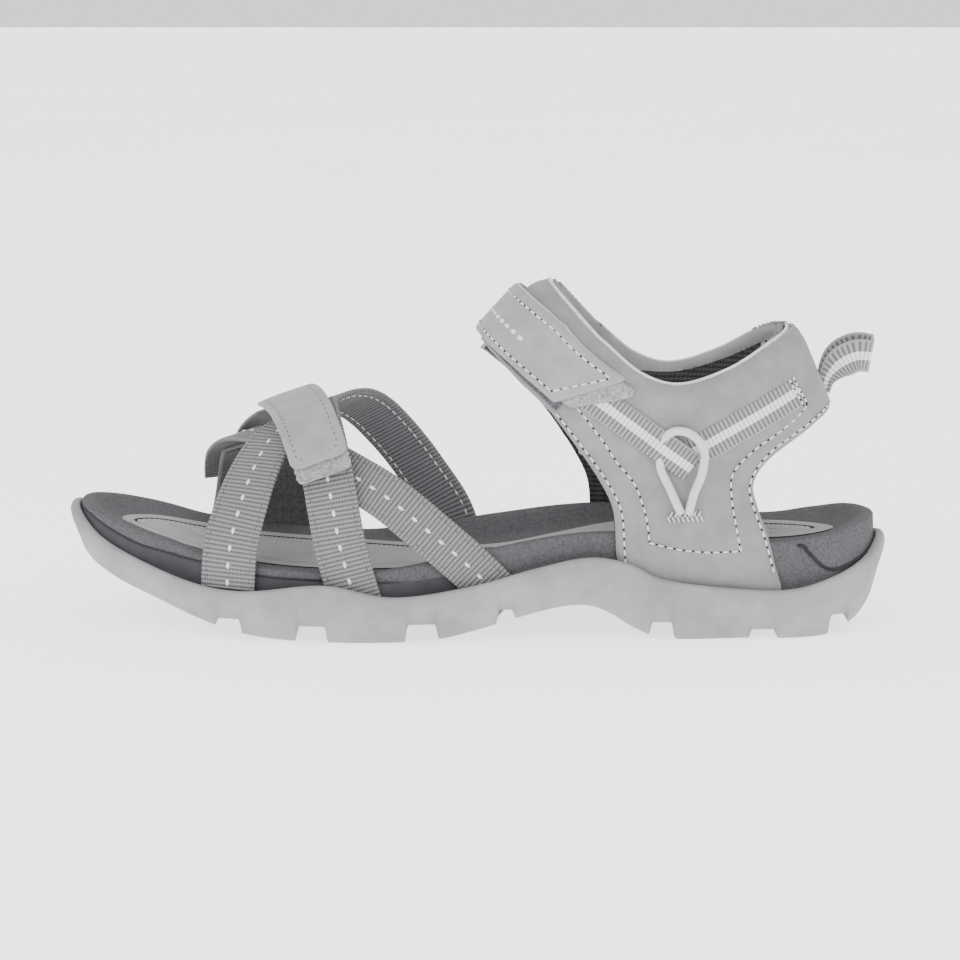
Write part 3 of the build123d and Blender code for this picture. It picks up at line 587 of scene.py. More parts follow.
def build_outsole(plan):
    def below_rim(drop):
        return lambda p, e: smooth(RIM_LINE, e.x) - drop

    def above_ground(rise):
        return lambda p, e: min(ground(p, e) + rise, smooth(RIM_LINE, e.x) - 1.6)

    def between(share):
        return lambda p, e: (ground(p, e) + 1.2) * (1 - share) + (
            smooth(RIM_LINE, e.x) - 1.2) * share

    rings = [
        plan.ring(3.1, below_rim(5.0)), plan.ring(3.0, below_rim(1.2)),
        plan.ring(2.8, below_rim(0.4)), plan.ring(2.3, below_rim(0.05)),
        plan.ring(1.5, rim), plan.ring(0.8, below_rim(0.15)), plan.ring(0.3, below_rim(0.6)),
        plan.ring(0.05, below_rim(1.2)), plan.ring(-0.2, between(0.8)),
        plan.ring(0.0, between(0.6)), plan.ring(0.7, between(0.4)),
        plan.ring(1.7, between(0.2)), plan.ring(2.6, above_ground(1.2)),
        plan.ring(3.0, above_ground(0.5)), plan.ring(3.5, above_ground(0.1)),
        plan.ring(4.2, above_ground(0.0)),
    ]
    for inset in (6, 8, 10, 13, 16, 20, 25, 31, 38, 60):
        rings.append(plan.ring(inset, ground))
    points, faces = loft_rings(rings)
    sole = new_object("outsole_body", points, faces, RUBBER)
    fix_normals(sole)
    return sole


GROOVE_LINE = [(-130, 36.4), (-121.7, 32), (-109.9, 27.6), (-96.8, 24.5), (-85.5, 22.9),
               (-68.7, 19.7), (-49.4, 18.6), (-26, 18.3), (0, 21), (130, 21)]
GROOVE_END = -20.0        # the moulded groove fades out behind the ball
WALL_CHANGE = 3.0         # behind this the whole side is as rough as the band
HEEL_GROOVE = [(98.9, 30.4), (103.2, 24.8), (107.4, 21.3), (112, 20.7), (119.2, 22.9),
               (123.5, 25.4)]
SLOT = 2.8                # straps enter between the wall and a bed set in this much more
SLOT_TOE = -97.0
SLOT_HEEL = 101.0
SLOT_FADE = 14.0


def set_in(inset):
    """Inset of the footbed: deeper along the sides, where the straps enter."""
    def depth(x):
        share = min((x - SLOT_TOE) / SLOT_FADE + 1, (SLOT_HEEL - x) / SLOT_FADE + 1)
        return inset - SLOT * (1 - ease(share))
    return depth


def build_footbed(plan):
    """Dark foam bed with a rough upper band, a moulded groove and a dished top."""
    def at(line, rise=0.0):
        return lambda p, e: smooth(line, e.x) + rise

    def groove(rise):
        return lambda p, e: max(
            min(smooth(GROOVE_LINE, e.x), smooth(BORDER_LINE, e.x) - 2.2) + rise,
            smooth(RIM_LINE, e.x) + rise * 0.3)

    def notch(inset):
        plain = set_in(6.3)
        deep = set_in(inset)
        return lambda x: plain(x) + (deep(x) - plain(x)) * min(1.0, max(0.0, (GROOVE_END - x) / 9))

    def slope(share):
        return lambda p, e: (1 - share) * smooth(BORDER_LINE, e.x) + share * smooth(
            DISH_LINE, p.x) - 0.2

    lower = [
        plan.ring(3.0, at(RIM_LINE, -3.4)), plan.ring(3.1, at(RIM_LINE, -1.6)),
        plan.ring(set_in(6.0), at(RIM_LINE, -1.2)), plan.ring(set_in(6.25), at(RIM_LINE, -0.6)),
        plan.ring(notch(6.25), groove(-0.9)), plan.ring(notch(6.5), groove(-0.45)),
        plan.ring(notch(7.3), groove(0.0)),
    ]
    upper = [
        plan.ring(notch(7.3), groove(0.0)), plan.ring(notch(6.5), groove(0.45)),
        plan.ring(notch(6.3), groove(0.9)),
        plan.ring(set_in(6.5), at(BORDER_LINE, -0.9)),
        plan.ring(set_in(6.9), at(BORDER_LINE, -0.4)),
        plan.ring(set_in(7.8), at(BORDER_LINE, -0.05)),
        plan.ring(set_in(9.4), at(BORDER_LINE, -0.1)),
        plan.ring(set_in(11.2), slope(0.2)), plan.ring(set_in(13.2), slope(0.55)),
        plan.ring(15.0, slope(0.85)), plan.ring(17.0, slope(1.0)),
    ]
    for inset in (20, 23, 27, 31, 38, 60):
        upper.append(plan.ring(inset, lambda p, e: smooth(DISH_LINE, p.x) - 0.3))
    points, faces = loft_rings(lower)
    wall = new_object("footbed_wall", points, faces, FOAM)
    fix_normals(wall)
    wall.data.materials.append(BAND)
    for polygon in wall.data.polygons:
        if polygon.center.x / MM > WALL_CHANGE:
            polygon.material_index = 1
    points, faces = loft_rings(upper)
    bed = new_object("footbed_bed", points, faces, BAND)
    return [wall, bed]


def heel_groove_shadow(plan):
    """Painted shadow of the moulded U-shaped groove in both sides of the heel: a thin dark tube
    laid in the wall where the groove's shade falls.
    """
    ring = plan.ring(set_in(6.05), lambda p, e: 0.0)
    made = []
    for side_sign, word in SIDES:
        side = sorted((x, y) for x, y, _ in ring if (y - SHAFT_CENTRE_Y) * side_sign > 0)
        path = []
        for x, z in curve_through(HEEL_GROOVE, 8):
            near = min(side, key=lambda p: abs(p[0] - x))
            path.append(Vector((near[0], near[1], min(z, smooth(BORDER_LINE, x) - 1.8))))
        made.append(tube(f"heel_groove_shadow_{word}", spaced(path, 0.8), 0.5, PAINTED_SHADE, 8))
    return made


OVAL_INSET = 6.5          # outline of the ribbed ovals inside the inlay's edge
RIB_PITCH = 1.5


def build_inlay(plan):
    """Light inlay with a grooved oval of fine ribs under the ball and one under the heel; its
    recessed edge and the ovals' grooves are painted near-black as painted shade.
    """
    def top(point, edge):
        inset = (point - edge).length
        z = smooth(DISH_LINE, point.x) + 0.15
        ribbed = point.x < 4 or point.x > 46
        if OVAL_INSET < inset < OVAL_INSET + 0.9 and ribbed:
            z -= 0.4
        if inset >= OVAL_INSET + 0.9 and ribbed:
            z -= 0.13 * (1 + math.sin(2 * math.pi * point.x / RIB_PITCH))
        return z

    def side(drop):
        return lambda p, e: smooth(DISH_LINE, p.x) - drop

    rings = [plan.ring(0.3, side(1.0)), plan.ring(0.35, side(0.1)), plan.ring(0.6, side(-0.1))]
    steps = [1.0, 2.5, 4.5, OVAL_INSET - 0.05, OVAL_INSET + 0.05, OVAL_INSET + 0.45,
             OVAL_INSET + 0.85, OVAL_INSET + 0.95, 9, 11, 13, 16, 20, 24, 40]
    for inset in steps:
        rings.append(plan.ring(inset, top))
    points, faces = loft_rings(rings)
    inlay = new_object("inlay_top", points, faces, INLAY)
    inlay.data.materials.append(PAINTED_SHADE)
    size = len(plan.edge)
    for polygon in inlay.data.polygons:
        ring_index = polygon.index // size
        middle = polygon.center.x / MM
        ribbed = middle < 4 or middle > 46
        # the edge wall and lip (rings 0 and 1) and the oval grooves (rings 6 to 8) get painted
        # shade
        dark = ring_index in (0, 1) or (ribbed and ring_index in (6, 7, 8))
        polygon.material_index = 1 if dark else 0
    return inlay


sole_plan = Plan(SOLE_LATERAL, SOLE_MEDIAL, OUTLINE_STEP)
inlay_plan = Plan(INLAY_LATERAL, INLAY_MEDIAL, 0.45)
outsole_body = build_outsole(sole_plan)
footbed_pieces = build_footbed(sole_plan)
inlay_top = build_inlay(inlay_plan)


# ---- straps over the foot ------------------------------------------------------------
def foot_point(x, angle):
    """Point on the foot's surface; past either edge of the footbed it runs straight down."""
    lateral = smooth(FOOT_LATERAL, x)
    medial = smooth(FOOT_MEDIAL, x)
    base = smooth(FOOT_BASE, x)
    height = smooth(FOOT_CREST, x) - base
    turn = math.radians(angle)
    if angle < 0:
        return Vector((x, lateral, base + height * turn))
    if angle > 180:
        return Vector((x, medial, base - height * (turn - math.pi)))
    middle = (lateral + medial) / 2
    half = (medial - lateral) / 2
    return Vector((x, middle - half * math.cos(turn), base + height * math.sin(turn)))


def foot_normal(x, angle):
    """Outward direction of the foot's surface."""
    along = foot_point(x + 0.5, angle) - foot_point(x - 0.5, angle)
    around = foot_point(x, angle + 0.5) - foot_point(x, angle - 0.5)
    return around.cross(along).normalized() * -1


class Strip:
    """Dense frames of a band over the foot: middles, directions and widths."""

    def __init__(self, route, width, thickness, step=0.42, lift=0.0):
        widths = width if isinstance(width, list) else [width] * len(route)
        rows = [(x, a, h + lift, w) for (x, a, h), w in zip(route, widths)]
        dense = curve_through(rows, 40)
        spots = []
        for x, angle, rise, wide in dense:
            normal = foot_normal(x, angle)
            spot = foot_point(x, angle) + normal * (rise + thickness / 2)
            spots.append((*spot, *normal, wide))
        even = self.even(spots, step)
        self.thickness = thickness
        self.middles = [Vector(row[:3]) for row in even]
        self.normals = [Vector(row[3:6]).normalized() for row in even]
        self.widths = [row[6] for row in even]
        self.alongs, self.acrosses, self.reach = [], [], [0.0]
        last = len(even) - 1
        for i in range(len(even)):
            along = self.middles[min(i + 1, last)] - self.middles[max(i - 1, 0)]
            along.normalize()
            across = along.cross(self.normals[i]).normalized()
            self.alongs.append(along)
            self.acrosses.append(across)
            self.normals[i] = across.cross(along).normalized()
            if i:
                self.reach.append(self.reach[-1] + (self.middles[i] - self.middles[i - 1]).length)
        self.length = self.reach[-1]

    @staticmethod
    def even(rows, step):
        reach = [0.0]
        for a, b in zip(rows, rows[1:]):
            reach.append(reach[-1] + (Vector(b[:3]) - Vector(a[:3])).length)
        count = max(4, round(reach[-1] / step))
        out, i = [], 0
        for k in range(count + 1):
            want = reach[-1] * k / count
            while i < len(rows) - 2 and reach[i + 1] < want:
                i += 1
            t = (want - reach[i]) / max(reach[i + 1] - reach[i], 1e-9)
            out.append(tuple(p + (q - p) * t for p, q in zip(rows[i], rows[i + 1])))
        return out

    def at(self, along, across, rise):
        """Point, normal, along and across directions at a place on the band's outer face."""
        i = 0
        while i < len(self.reach) - 2 and self.reach[i + 1] < along:
            i += 1
        t = (along - self.reach[i]) / max(self.reach[i + 1] - self.reach[i], 1e-9)
        middle = self.middles[i].lerp(self.middles[i + 1], t)
        normal = self.normals[i].lerp(self.normals[i + 1], t).normalized()
        side = self.acrosses[i].lerp(self.acrosses[i + 1], t).normalized()
        ahead = self.alongs[i].lerp(self.alongs[i + 1], t).normalized()
        spot = middle + side * across + normal * (self.thickness / 2 + rise)
        return spot, normal, ahead, side


def strip_piece(name, strip, material, rib_pitch=0.0, rib_depth=0.0, crown=0.0, steps=18,
                end_round=0.0, scallop=0.0):
    """Solid band with rounded long edges, optional cross ribs and rounded ends."""
    half = strip.thickness / 2
    rings, uvs = [], []
    for i, middle in enumerate(strip.middles):
        wide = strip.widths[i] / 2
        if end_round:
            near = min(strip.reach[i], strip.length - strip.reach[i])
            if near < end_round:
                wide -= end_round - math.sqrt(max(end_round ** 2 - (end_round - near) ** 2, 0))
        rib = 0.0
        if rib_pitch:
            rib = rib_depth * math.sin(2 * math.pi * strip.reach[i] / rib_pitch)
        if scallop:
            wide += scallop * math.sin(2 * math.pi * strip.reach[i] / 2.4)
        ring = []
        profile = []
        for j in range(steps + 1):
            v = -1 + 2 * j / steps
            profile.append((v * (wide - half * 0.6), half + rib + crown * (1 - v * v)))
        profile.append((wide - half * 0.15, half * 0.6))
        profile.append((wide, 0.0))
        profile.append((wide - half * 0.15, -half * 0.6))
        for j in range(steps + 1):
            v = 1 - 2 * j / steps
            profile.append((v * (wide - half * 0.6), -half + rib))
        profile.append((-wide + half * 0.15, -half * 0.6))
        profile.append((-wide, 0.0))
        profile.append((-wide + half * 0.15, half * 0.6))
        for v, h in profile:
            ring.append(middle + strip.acrosses[i] * v + strip.normals[i] * h)
            uvs.append((strip.reach[i], v))
        rings.append(ring)
    points, faces = loft_rings(rings, capped=True)
    piece = new_object(name, points, faces, material, uvs)
    fix_normals(piece)
    return piece


def beads(name, places, material, length, width, height):
    """Stitches: small rounded bumps; places hold point, normal and along direction."""
    points, faces = [], []
    around, rows = 8, 3
    for spot, normal, ahead in places:
        side = ahead.cross(normal).normalized()
        first = len(points)
        for r in range(rows):
            tilt = math.pi / 2 * r / rows
            for k in range(around):
                turn = 2 * math.pi * k / around
                flat = math.cos(tilt)
                points.append(
                    spot + ahead * (math.cos(turn) * flat * length / 2)
                    + side * (math.sin(turn) * flat * width / 2)
                    + normal * (math.sin(tilt) * height - 0.12)
                )
        points.append(spot + normal * (height - 0.12))
        top = len(points) - 1
        for r in range(rows - 1):
            for k in range(around):
                n = (k + 1) % around
                a = first + r * around
                faces.append((a + k, a + n, a + around + n, a + around + k))
        a = first + (rows - 1) * around
        for k in range(around):
            faces.append((a + k, a + (k + 1) % around, top))
        faces.append(tuple(first + k for k in reversed(range(around))))
    return new_object(name, points, faces, material)


def strip_row(strip, across, pitch, start, end, rise=0.0):
    """Places at even pitch along a band."""
    places = []
    along = start
    while along < end:
        spot, normal, ahead, _ = strip.at(along, across, rise)
        places.append((spot, normal, ahead))
        along += pitch
    return places


def ride(obj, body, slot, *nodes):
    """Ride, slot and replaced nodes of one piece; slot is not used. A "fold" piece is baked in
    place, not attached.
    """
    if body == "fold":
        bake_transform(obj)
    else:
        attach(obj, body)
    if nodes:
        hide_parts(*nodes)


def webbing(name, strip, node, edge_rows=True):
    """Ribbed webbing with white centre dashes and a sewn row inside each edge."""
    band = strip_piece(name, strip, WEB, rib_pitch=1.35, rib_depth=0.07, crown=0.12)
    ride(band, "sandal", "grey_webbing", node)
    places = strip_row(strip, 0.0, 5.4, 2.0, strip.length - 1, 0.16)
    marks = beads(name + "_dashes", places, THREAD_WHITE, 2.3, 1.15, 0.42)
    ride(marks, "sandal", "white_elastic")
    if edge_rows:
        inner = strip.widths[0] / 2 - 1.7
        places = strip_row(strip, inner, 2.2, 1.0, strip.length - 1, 0.06)
        places += strip_row(strip, -inner, 2.2, 1.0, strip.length - 1, 0.06)
        rows = beads(name + "_stitches", places, THREAD_DARK, 1.5, 0.5, 0.3)
        ride(rows, "sandal", "grey_thread")


toe_lining_strip = Strip(TOE_STRAP_ROUTE, 16.5, 0.5)
toe_strip = Strip(TOE_STRAP_ROUTE, 17.5, WEBBING, lift=0.6)
cross_strip = Strip(CROSS_STRAP_ROUTE, 14.5, WEBBING)
middle_strip = Strip(MIDDLE_STRAP_ROUTE, 16.0, WEBBING)
loop_strip = Strip(LOOP_PATCH_ROUTE, 15.0, 0.8)
hook_strip = Strip(HOOK_PATCH_ROUTE, 17.5, 0.8)
tab_strip = Strip(TAB_ROUTE, 18.5, PANEL)
adjuster_strip = Strip(ADJUSTER_ROUTE, 17.0, WEBBING)
panel_strip = Strip(TOE_PANEL_ROUTE, TOE_PANEL_WIDTHS, PANEL)
panel_lining_strip = Strip(TOE_PANEL_ROUTE, [w - 2 for w in TOE_PANEL_WIDTHS], 0.5, lift=-0.6)

webbing("toe_strap_web", toe_strip, "toe_strap")
webbing("cross_strap_web", cross_strip, "cross_strap")
webbing("middle_strap_web", middle_strip, "middle_strap")
webbing("adjuster_web", adjuster_strip, "adjuster_strap", edge_rows=False)

tape = strip_piece("toe_strap_tape", toe_lining_strip, TAPE, 1.1, 0.04)
ride(tape, "sandal", "dark_tape", "toe_strap_lining")
places = strip_row(toe_lining_strip, 6.2, 3.0, 1, toe_lining_strip.length - 1, -0.62)
places += strip_row(toe_lining_strip, -6.2, 3.0, 1, toe_lining_strip.length - 1, -0.62)
places = [(spot, normal * -1, ahead) for spot, normal, ahead in places]
tape_rows = beads("toe_strap_tape_stitches", places, THREAD_WHITE, 2.2, 0.5, 0.35)
ride(tape_rows, "sandal", "grey_thread")

pile = strip_piece("forefoot_loop_pile", loop_strip, LOOP_PILE)
ride(pile, "sandal", "loop_pile", "forefoot_loop_patch")
hooks = strip_piece("forefoot_hook_tape", hook_strip, HOOK_PILE, scallop=0.18, end_round=1.5)
ride(hooks, "forefoot_flap", "hook_tape", "forefoot_hook_patch")
plate = strip_piece("forefoot_tab_plate", tab_strip, MICRO_TAB, crown=0.25, end_round=3.0)
ride(plate, "forefoot_flap", "grey_synthetic", "forefoot_tab")


def perimeter(strip, inset, pitch, rise, corner=2.5):
    """Places round the outline of a band, inset from its edge."""
    half = strip.widths[0] / 2 - inset
    start, end = inset, strip.length - inset
    corners = [(start, -half), (end, -half), (end, half), (start, half)]
    loop = spaced(rounded(corners, corner), pitch, closed=True)
    places = []
    for i, place in enumerate(loop):
        after = loop[(i + 1) % len(loop)]
        spot, normal, _, _ = strip.at(place.x, place.y, rise)
        nearby, _, _, _ = strip.at(after.x, after.y, rise)
        places.append((spot, normal, (nearby - spot).normalized()))
    return places


tab_rows = beads("forefoot_tab_stitches", perimeter(tab_strip, 2.5, 2.3, 0.12), THREAD_DARK,
                 1.4, 0.5, 0.26)
ride(tab_rows, "forefoot_flap", "grey_thread")

panel_piece = strip_piece("medial_toe_panel_skin", panel_strip, MICRO, crown=0.4)
ride(panel_piece, "sandal", "grey_synthetic", "medial_toe_panel")
panel_back = strip_piece("toe_panel_lining_skin", panel_lining_strip, DARK_LINING)
ride(panel_back, "sandal", "dark_lining", "toe_panel_lining")


# ---- heel and ankle surface ----------------------------------------------------------
def instep_x(z):
    """Front of the shaft at a height."""
    return INSTEP_X + INSTEP_LEAN * (z - INSTEP_Z)


def shaft_point(turn, z, offset):
    """Point round the shaft; turn is 0 at the instep, below 0 on the lateral side."""
    middle = instep_x(z) + SHAFT_FRONT
    c = math.cos(turn)
    fullness = FRONT_FULLNESS if c > 0 else smooth(BACK_FULLNESS, z)
    if c > 0:
        reach = SHAFT_FRONT + offset * FRONT_STRETCH
    else:
        reach = smooth(HEEL_LINE, z) - middle + offset
    side = math.copysign(SHAFT_HALF_WIDTH + offset, turn)
    x = middle - math.copysign(reach * abs(c) ** (2 / fullness), c)
    spread = abs(math.sin(turn)) ** (2 / fullness)
    return Vector((x, SHAFT_CENTRE_Y + side * spread, z))


def shaft_turn(x, z, side_sign):
    """Turn of the place on the shaft seen at x and z from one side."""
    middle = instep_x(z) + SHAFT_FRONT
    if x < middle:
        share = min(1.0, (middle - x) / SHAFT_FRONT)
        return side_sign * math.acos(share ** (FRONT_FULLNESS / 2))
    share = min(1.0, (x - middle) / (smooth(HEEL_LINE, z) - middle))
    return side_sign * math.acos(-share ** (smooth(BACK_FULLNESS, z) / 2))


def shaft_frame(turn, z, offset):
    """Point and outward normal."""
    step = 0.01
    spot = shaft_point(turn, z, offset)
    around = shaft_point(turn + step, z, offset) - shaft_point(turn - step, z, offset)
    up = shaft_point(turn, z + 0.5, offset) - shaft_point(turn, z - 0.5, offset)
    normal = around.cross(up).normalized()
    outward = Vector((spot.x - instep_x(z) - SHAFT_FRONT, spot.y - SHAFT_CENTRE_Y, 0))
    if normal.dot(outward) < 0:
        normal.negate()
    return spot, normal


def flat(x, z, side_sign):
    """Side-view place as panel coordinates: scaled turn and height."""
    return (shaft_turn(x, z, side_sign) * TURN_SCALE, z)


def on_instep(out, along):
    """Side-view point from its distance out over the instep and along the strap's width."""
    place = OUT_DIRECTION * out + WIDTH_DIRECTION * along
    return (place.x, place.z)


def height_along(turn, along):
    """Height at which a line round the shaft stands at a distance along the strap's width."""
    low, high = 20.0, 120.0
    for _ in range(30):
        z = (low + high) / 2
        place = shaft_point(turn, z, 0)
        if place.dot(WIDTH_DIRECTION) < along:
            low = z
        else:
            high = z
    return (low + high) / 2


def turn_at_y(y):
    """Turn near the instep where the surface stands at y."""
    share = (y - SHAFT_CENTRE_Y) / SHAFT_HALF_WIDTH
    return math.copysign(math.asin(abs(share) ** (FRONT_FULLNESS / 2)), share)


def wing_turn(side_sign):
    """Turn at which a wing ends over the instep."""
    return turn_at_y(LATERAL_WING_END if side_sign < 0 else MEDIAL_WING_END)

def band_run(turn_from, turn_to, along, steps=14, along_to=None):
    """Panel coordinates of a run round the instep at one place along the strap's width."""
    run = []
    finish = along if along_to is None else along_to
    for k in range(steps + 1):
        turn = turn_from + (turn_to - turn_from) * k / steps
        level = along + (finish - along) * k / steps
        run.append((turn * TURN_SCALE, height_along(turn, level)))
    return run


def inside(point, polygon):
    """Whether a 2-D point is inside a closed polygon."""
    x, y = point
    hit = False
    j = len(polygon) - 1
    for i, (xi, yi) in enumerate(polygon):
        xj, yj = polygon[j]
        if (yi > y) != (yj > y) and x < (xj - xi) * (y - yi) / (yj - yi) + xi:
            hit = not hit
        j = i
    return hit


def panel(name, outline, material, outer, thickness, spacing=1.1, edge=0.9, puff=0.0,
          uv=None, wrinkle=0.0, edge_material=None, bend=None):
    """Solid skin over the shaft inside an outline given in panel coordinates.

    outer is the offset of its outer face, edge the radius of its rounded rim, and puff how
    far the middle stands proud of the rim. bend moves both faces, by place and rim distance.
    """
    border = [Vector(p) for p in spaced(outline, 0.7, closed=True)]
    tree = kdtree.KDTree(len(border))
    for i, p in enumerate(border):
        tree.insert((p.x, p.y, 0), i)
    tree.balance()
    ring = [(p.x, p.y) for p in border]
    xs = [p[0] for p in ring]
    ys = [p[1] for p in ring]
    spots = list(ring)
    row = 0
    y = min(ys) + 0.3
    while y < max(ys):
        x = min(xs) + (spacing / 2 if row % 2 else 0)
        while x < max(xs):
            if inside((x, y), ring) and tree.find((x, y, 0))[2] > 0.95:
                spots.append((x, y))
            x += spacing
        y += spacing * 0.87
        row += 1
    count = len(border)
    for i, p in enumerate(border):
        ahead = border[(i + 1) % count] - border[i - 1]
        normal = Vector((-ahead.y, ahead.x)).normalized()
        for inset in (0.3, 0.65):
            for sign in (1, -1):
                q = p + normal * inset * sign
                if inside(q, ring) and tree.find((q.x, q.y, 0))[2] > inset * 0.8:
                    spots.append((q.x, q.y))
    edges = [(i, (i + 1) % count) for i in range(count)]
    verts, _, faces, _, _, _ = delaunay_2d_cdt([Vector(s) for s in spots], edges, [], 1, 1e-5)
    top, bottom, uvs = [], [], []
    for v in verts:
        away = tree.find((v.x, v.y, 0))[2]
        drop = 0.0
        if away < edge:
            drop = edge * (1 - math.sqrt(max(1 - (1 - away / edge) ** 2, 0)))
        swell = puff * (1 - math.exp(-away / 4.0))
        crease = wrinkle * noise.noise(Vector((v.x, v.y, 3.0)) * 0.09)
        shift = bend(v.x, v.y, away) if bend else 0.0
        offset = outer - min(drop, thickness * 0.8) + swell + crease + shift
        turn, z = v.x / TURN_SCALE, v.y
        top.append(shaft_point(turn, z, offset))
        bottom.append(shaft_point(turn, z, outer - thickness + crease + shift))
        uvs.append(uv(top[-1]) if uv else (v.x, v.y))
    size = len(top)
    rim_edges = {}
    for face in faces:
        for a, b in zip(face, face[1:] + face[:1]):
            rim_edges[(a, b)] = rim_edges.get((a, b), 0) + 1
    skin = [tuple(face) for face in faces]
    skin += [tuple(size + i for i in reversed(face)) for face in faces]
    start_rim = len(skin)
    for a, b in rim_edges:
        if (b, a) not in rim_edges:
            skin.append((b, a, size + a, size + b))
    piece = new_object(name, top + bottom, skin, material, uvs + uvs)
    if edge_material:
        piece.data.materials.append(edge_material)
        for polygon in piece.data.polygons:
            if polygon.index >= start_rim:
                polygon.material_index = 1
    fix_normals(piece)
    return piece


def sewn_places(route, pitch, offset, closed=False):
    """Even places along a route given in panel coordinates."""
    dense = spaced(route, 0.5, closed)
    path = [shaft_point(p[0] / TURN_SCALE, p[1], offset) for p in dense]
    rows = []
    travelled, want = 0.0, pitch / 2
    for i in range(len(path) - 1):
        step = (path[i + 1] - path[i]).length
        while step > 0 and travelled + step >= want:
            t = (want - travelled) / step
            here = dense[i].lerp(dense[i + 1], t)
            spot, normal = shaft_frame(here.x / TURN_SCALE, here.y, offset)
            rows.append((spot, normal, (path[i + 1] - path[i]).normalized()))
            want += pitch
        travelled += step
    return rows


def seam(name, route, offset, body="sandal", pitch=2.9, closed=False):
    """Row of pale stitches with a dark bead between each two that paints the shade inside a needle
    hole.
    """
    rows = sewn_places(route, pitch / 2, offset, closed)
    stitches = beads(name, rows[0::2], THREAD_WHITE, pitch * 0.72, 0.62, 0.36)
    ride(stitches, body, "grey_thread")
    # dark beads at the needle holes: painted shade
    holes = beads(name + "_holes", rows[1::2], HOLE_SHADE, 0.75, 0.7, 0.2)
    ride(holes, body, "grey_thread")


def quarter_outline(side_sign):
    """Panel outline of one quarter: wing over the instep, leg to the sole, heel and collar."""
    shift = 0 if side_sign < 0 else MEDIAL_LEAD_SHIFT
    lead = [(x + shift, z) for x, z in QUARTER_LOWER_LEAD]
    end = wing_turn(side_sign)
    heel = side_sign * HEEL_TURN * TURN_SCALE
    first = shaft_turn(*lead[0], side_sign)
    last = shaft_turn(*COLLAR_LINE[-1], side_sign)
    low = shaft_point(first, lead[0][1], 0).dot(WIDTH_DIRECTION)
    route = band_run(end, first, min(low, WING_LOW), 10)[:-1]
    route += [flat(x, z, side_sign) for x, z in curve_through(lead, 8)]
    route.append(flat(lead[-1][0], LEG_BOTTOM, side_sign))
    route.append(flat(QUARTER_BACK[0][0], LEG_BOTTOM, side_sign))
    route += [flat(x, z, side_sign) for x, z in curve_through(QUARTER_BACK, 8)]
    route += [(heel, QUARTER_BACK[-1][1] + 1), (heel, COLLAR_LINE[0][1])]
    route += [flat(x, z, side_sign) for x, z in curve_through(COLLAR_LINE, 8)]
    route += band_run(last, end, WING_HIGH, 10)[1:]
    return route

ROLL = 3.2                # radius of the padded collar's rolled edge
LINING_DEPTH = 3.3        # how far the padding holds the lining in from the skin
BED_TOP = 33.0            # below this the lining lies flat against the skin


def collar_tree():
    """Finder of the nearest place on the collar's edge, in panel coordinates."""
    spots = []
    for side_sign in (-1, 1):
        for x, z in curve_through(COLLAR_LINE, 30):
            spots.append(flat(x, z, side_sign))
        back = side_sign * HEEL_TURN * TURN_SCALE
        first = flat(*COLLAR_LINE[0], side_sign)
        for k in range(30):
            spots.append((first[0] + (back - first[0]) * k / 30, first[1]))
        last = shaft_turn(*COLLAR_LINE[-1], side_sign)
        spots += spaced(band_run(last, wing_turn(side_sign), WING_HIGH), 0.5)
    tree = kdtree.KDTree(len(spots))
    for i, spot in enumerate(spots):
        tree.insert((spot[0], spot[1], 0), i)
    tree.balance()
    return tree


COLLAR = collar_tree()


def skin_bend(x, z, away):
    """The skin rolls in over the collar's padding."""
    near = COLLAR.find((x, z, 0))[2]
    if near >= ROLL:
        return 0.0
    return -ROLL * (1 - math.sqrt(max(1 - (1 - near / ROLL) ** 2, 0)))


def lining_bend(x, z, away):
    """The lining rolls over the collar, then follows the padding down to the skin's edge."""
    near = COLLAR.find((x, z, 0))[2]
    if near < ROLL:
        return -ROLL * math.sqrt(max(1 - (1 - near / ROLL) ** 2, 0)) - 1.9
    deep = LINING_DEPTH + 1.9 * math.exp(-((near - ROLL) / 8.0) ** 2)
    deep *= min(1.0, max(0.0, (z - BED_TOP + 6) / 16))
    edge_share = 1 - math.exp(-away / 3.0)
    rolled = -ROLL - 1.9
    settled = -0.2 - deep * edge_share
    blend = min(1.0, (near - ROLL) / 4.0)
    return rolled * (1 - blend) + settled * blend


FACING_WING = 11.0        # width of the collar's facing on the wings, and at the heel
FACING_HEEL = 2.6
FACING_TURN = 1.7         # turn over which it narrows
FACING_SNAP = 0.7         # vertices this close to the facing's edge move onto it

def face_collar(lining):
    """Microfibre facing along the collar: wide on the wings, narrow at the heel."""
    def place(spot):
        side_sign = -1 if spot.y < SHAFT_CENTRE_Y else 1
        turn = shaft_turn(spot.x, spot.z, side_sign)
        edge, _, near = COLLAR.find((turn * TURN_SCALE, spot.z, 0))
        width = FACING_HEEL + (FACING_WING - FACING_HEEL) * max(0.0, 1 - abs(turn) / FACING_TURN)
        return turn, edge, near, width

    for vertex in lining.data.vertices:
        turn, edge, near, width = place(vertex.co / MM)
        if abs(near - width) < FACING_SNAP and near > 0:
            here = Vector((turn * TURN_SCALE, vertex.co.z / MM, 0))
            there = edge + (here - edge) * (width / near)
            depth = -ROLL
            moved = shaft_point(there.x / TURN_SCALE, there.y, depth)
            vertex.co += (moved - shaft_point(turn, here.y, depth)) * MM
    lining.data.materials.append(MICRO)
    for polygon in lining.data.polygons:
        turn, edge, near, width = place(polygon.center / MM)
        if near < width:
            polygon.material_index = 1


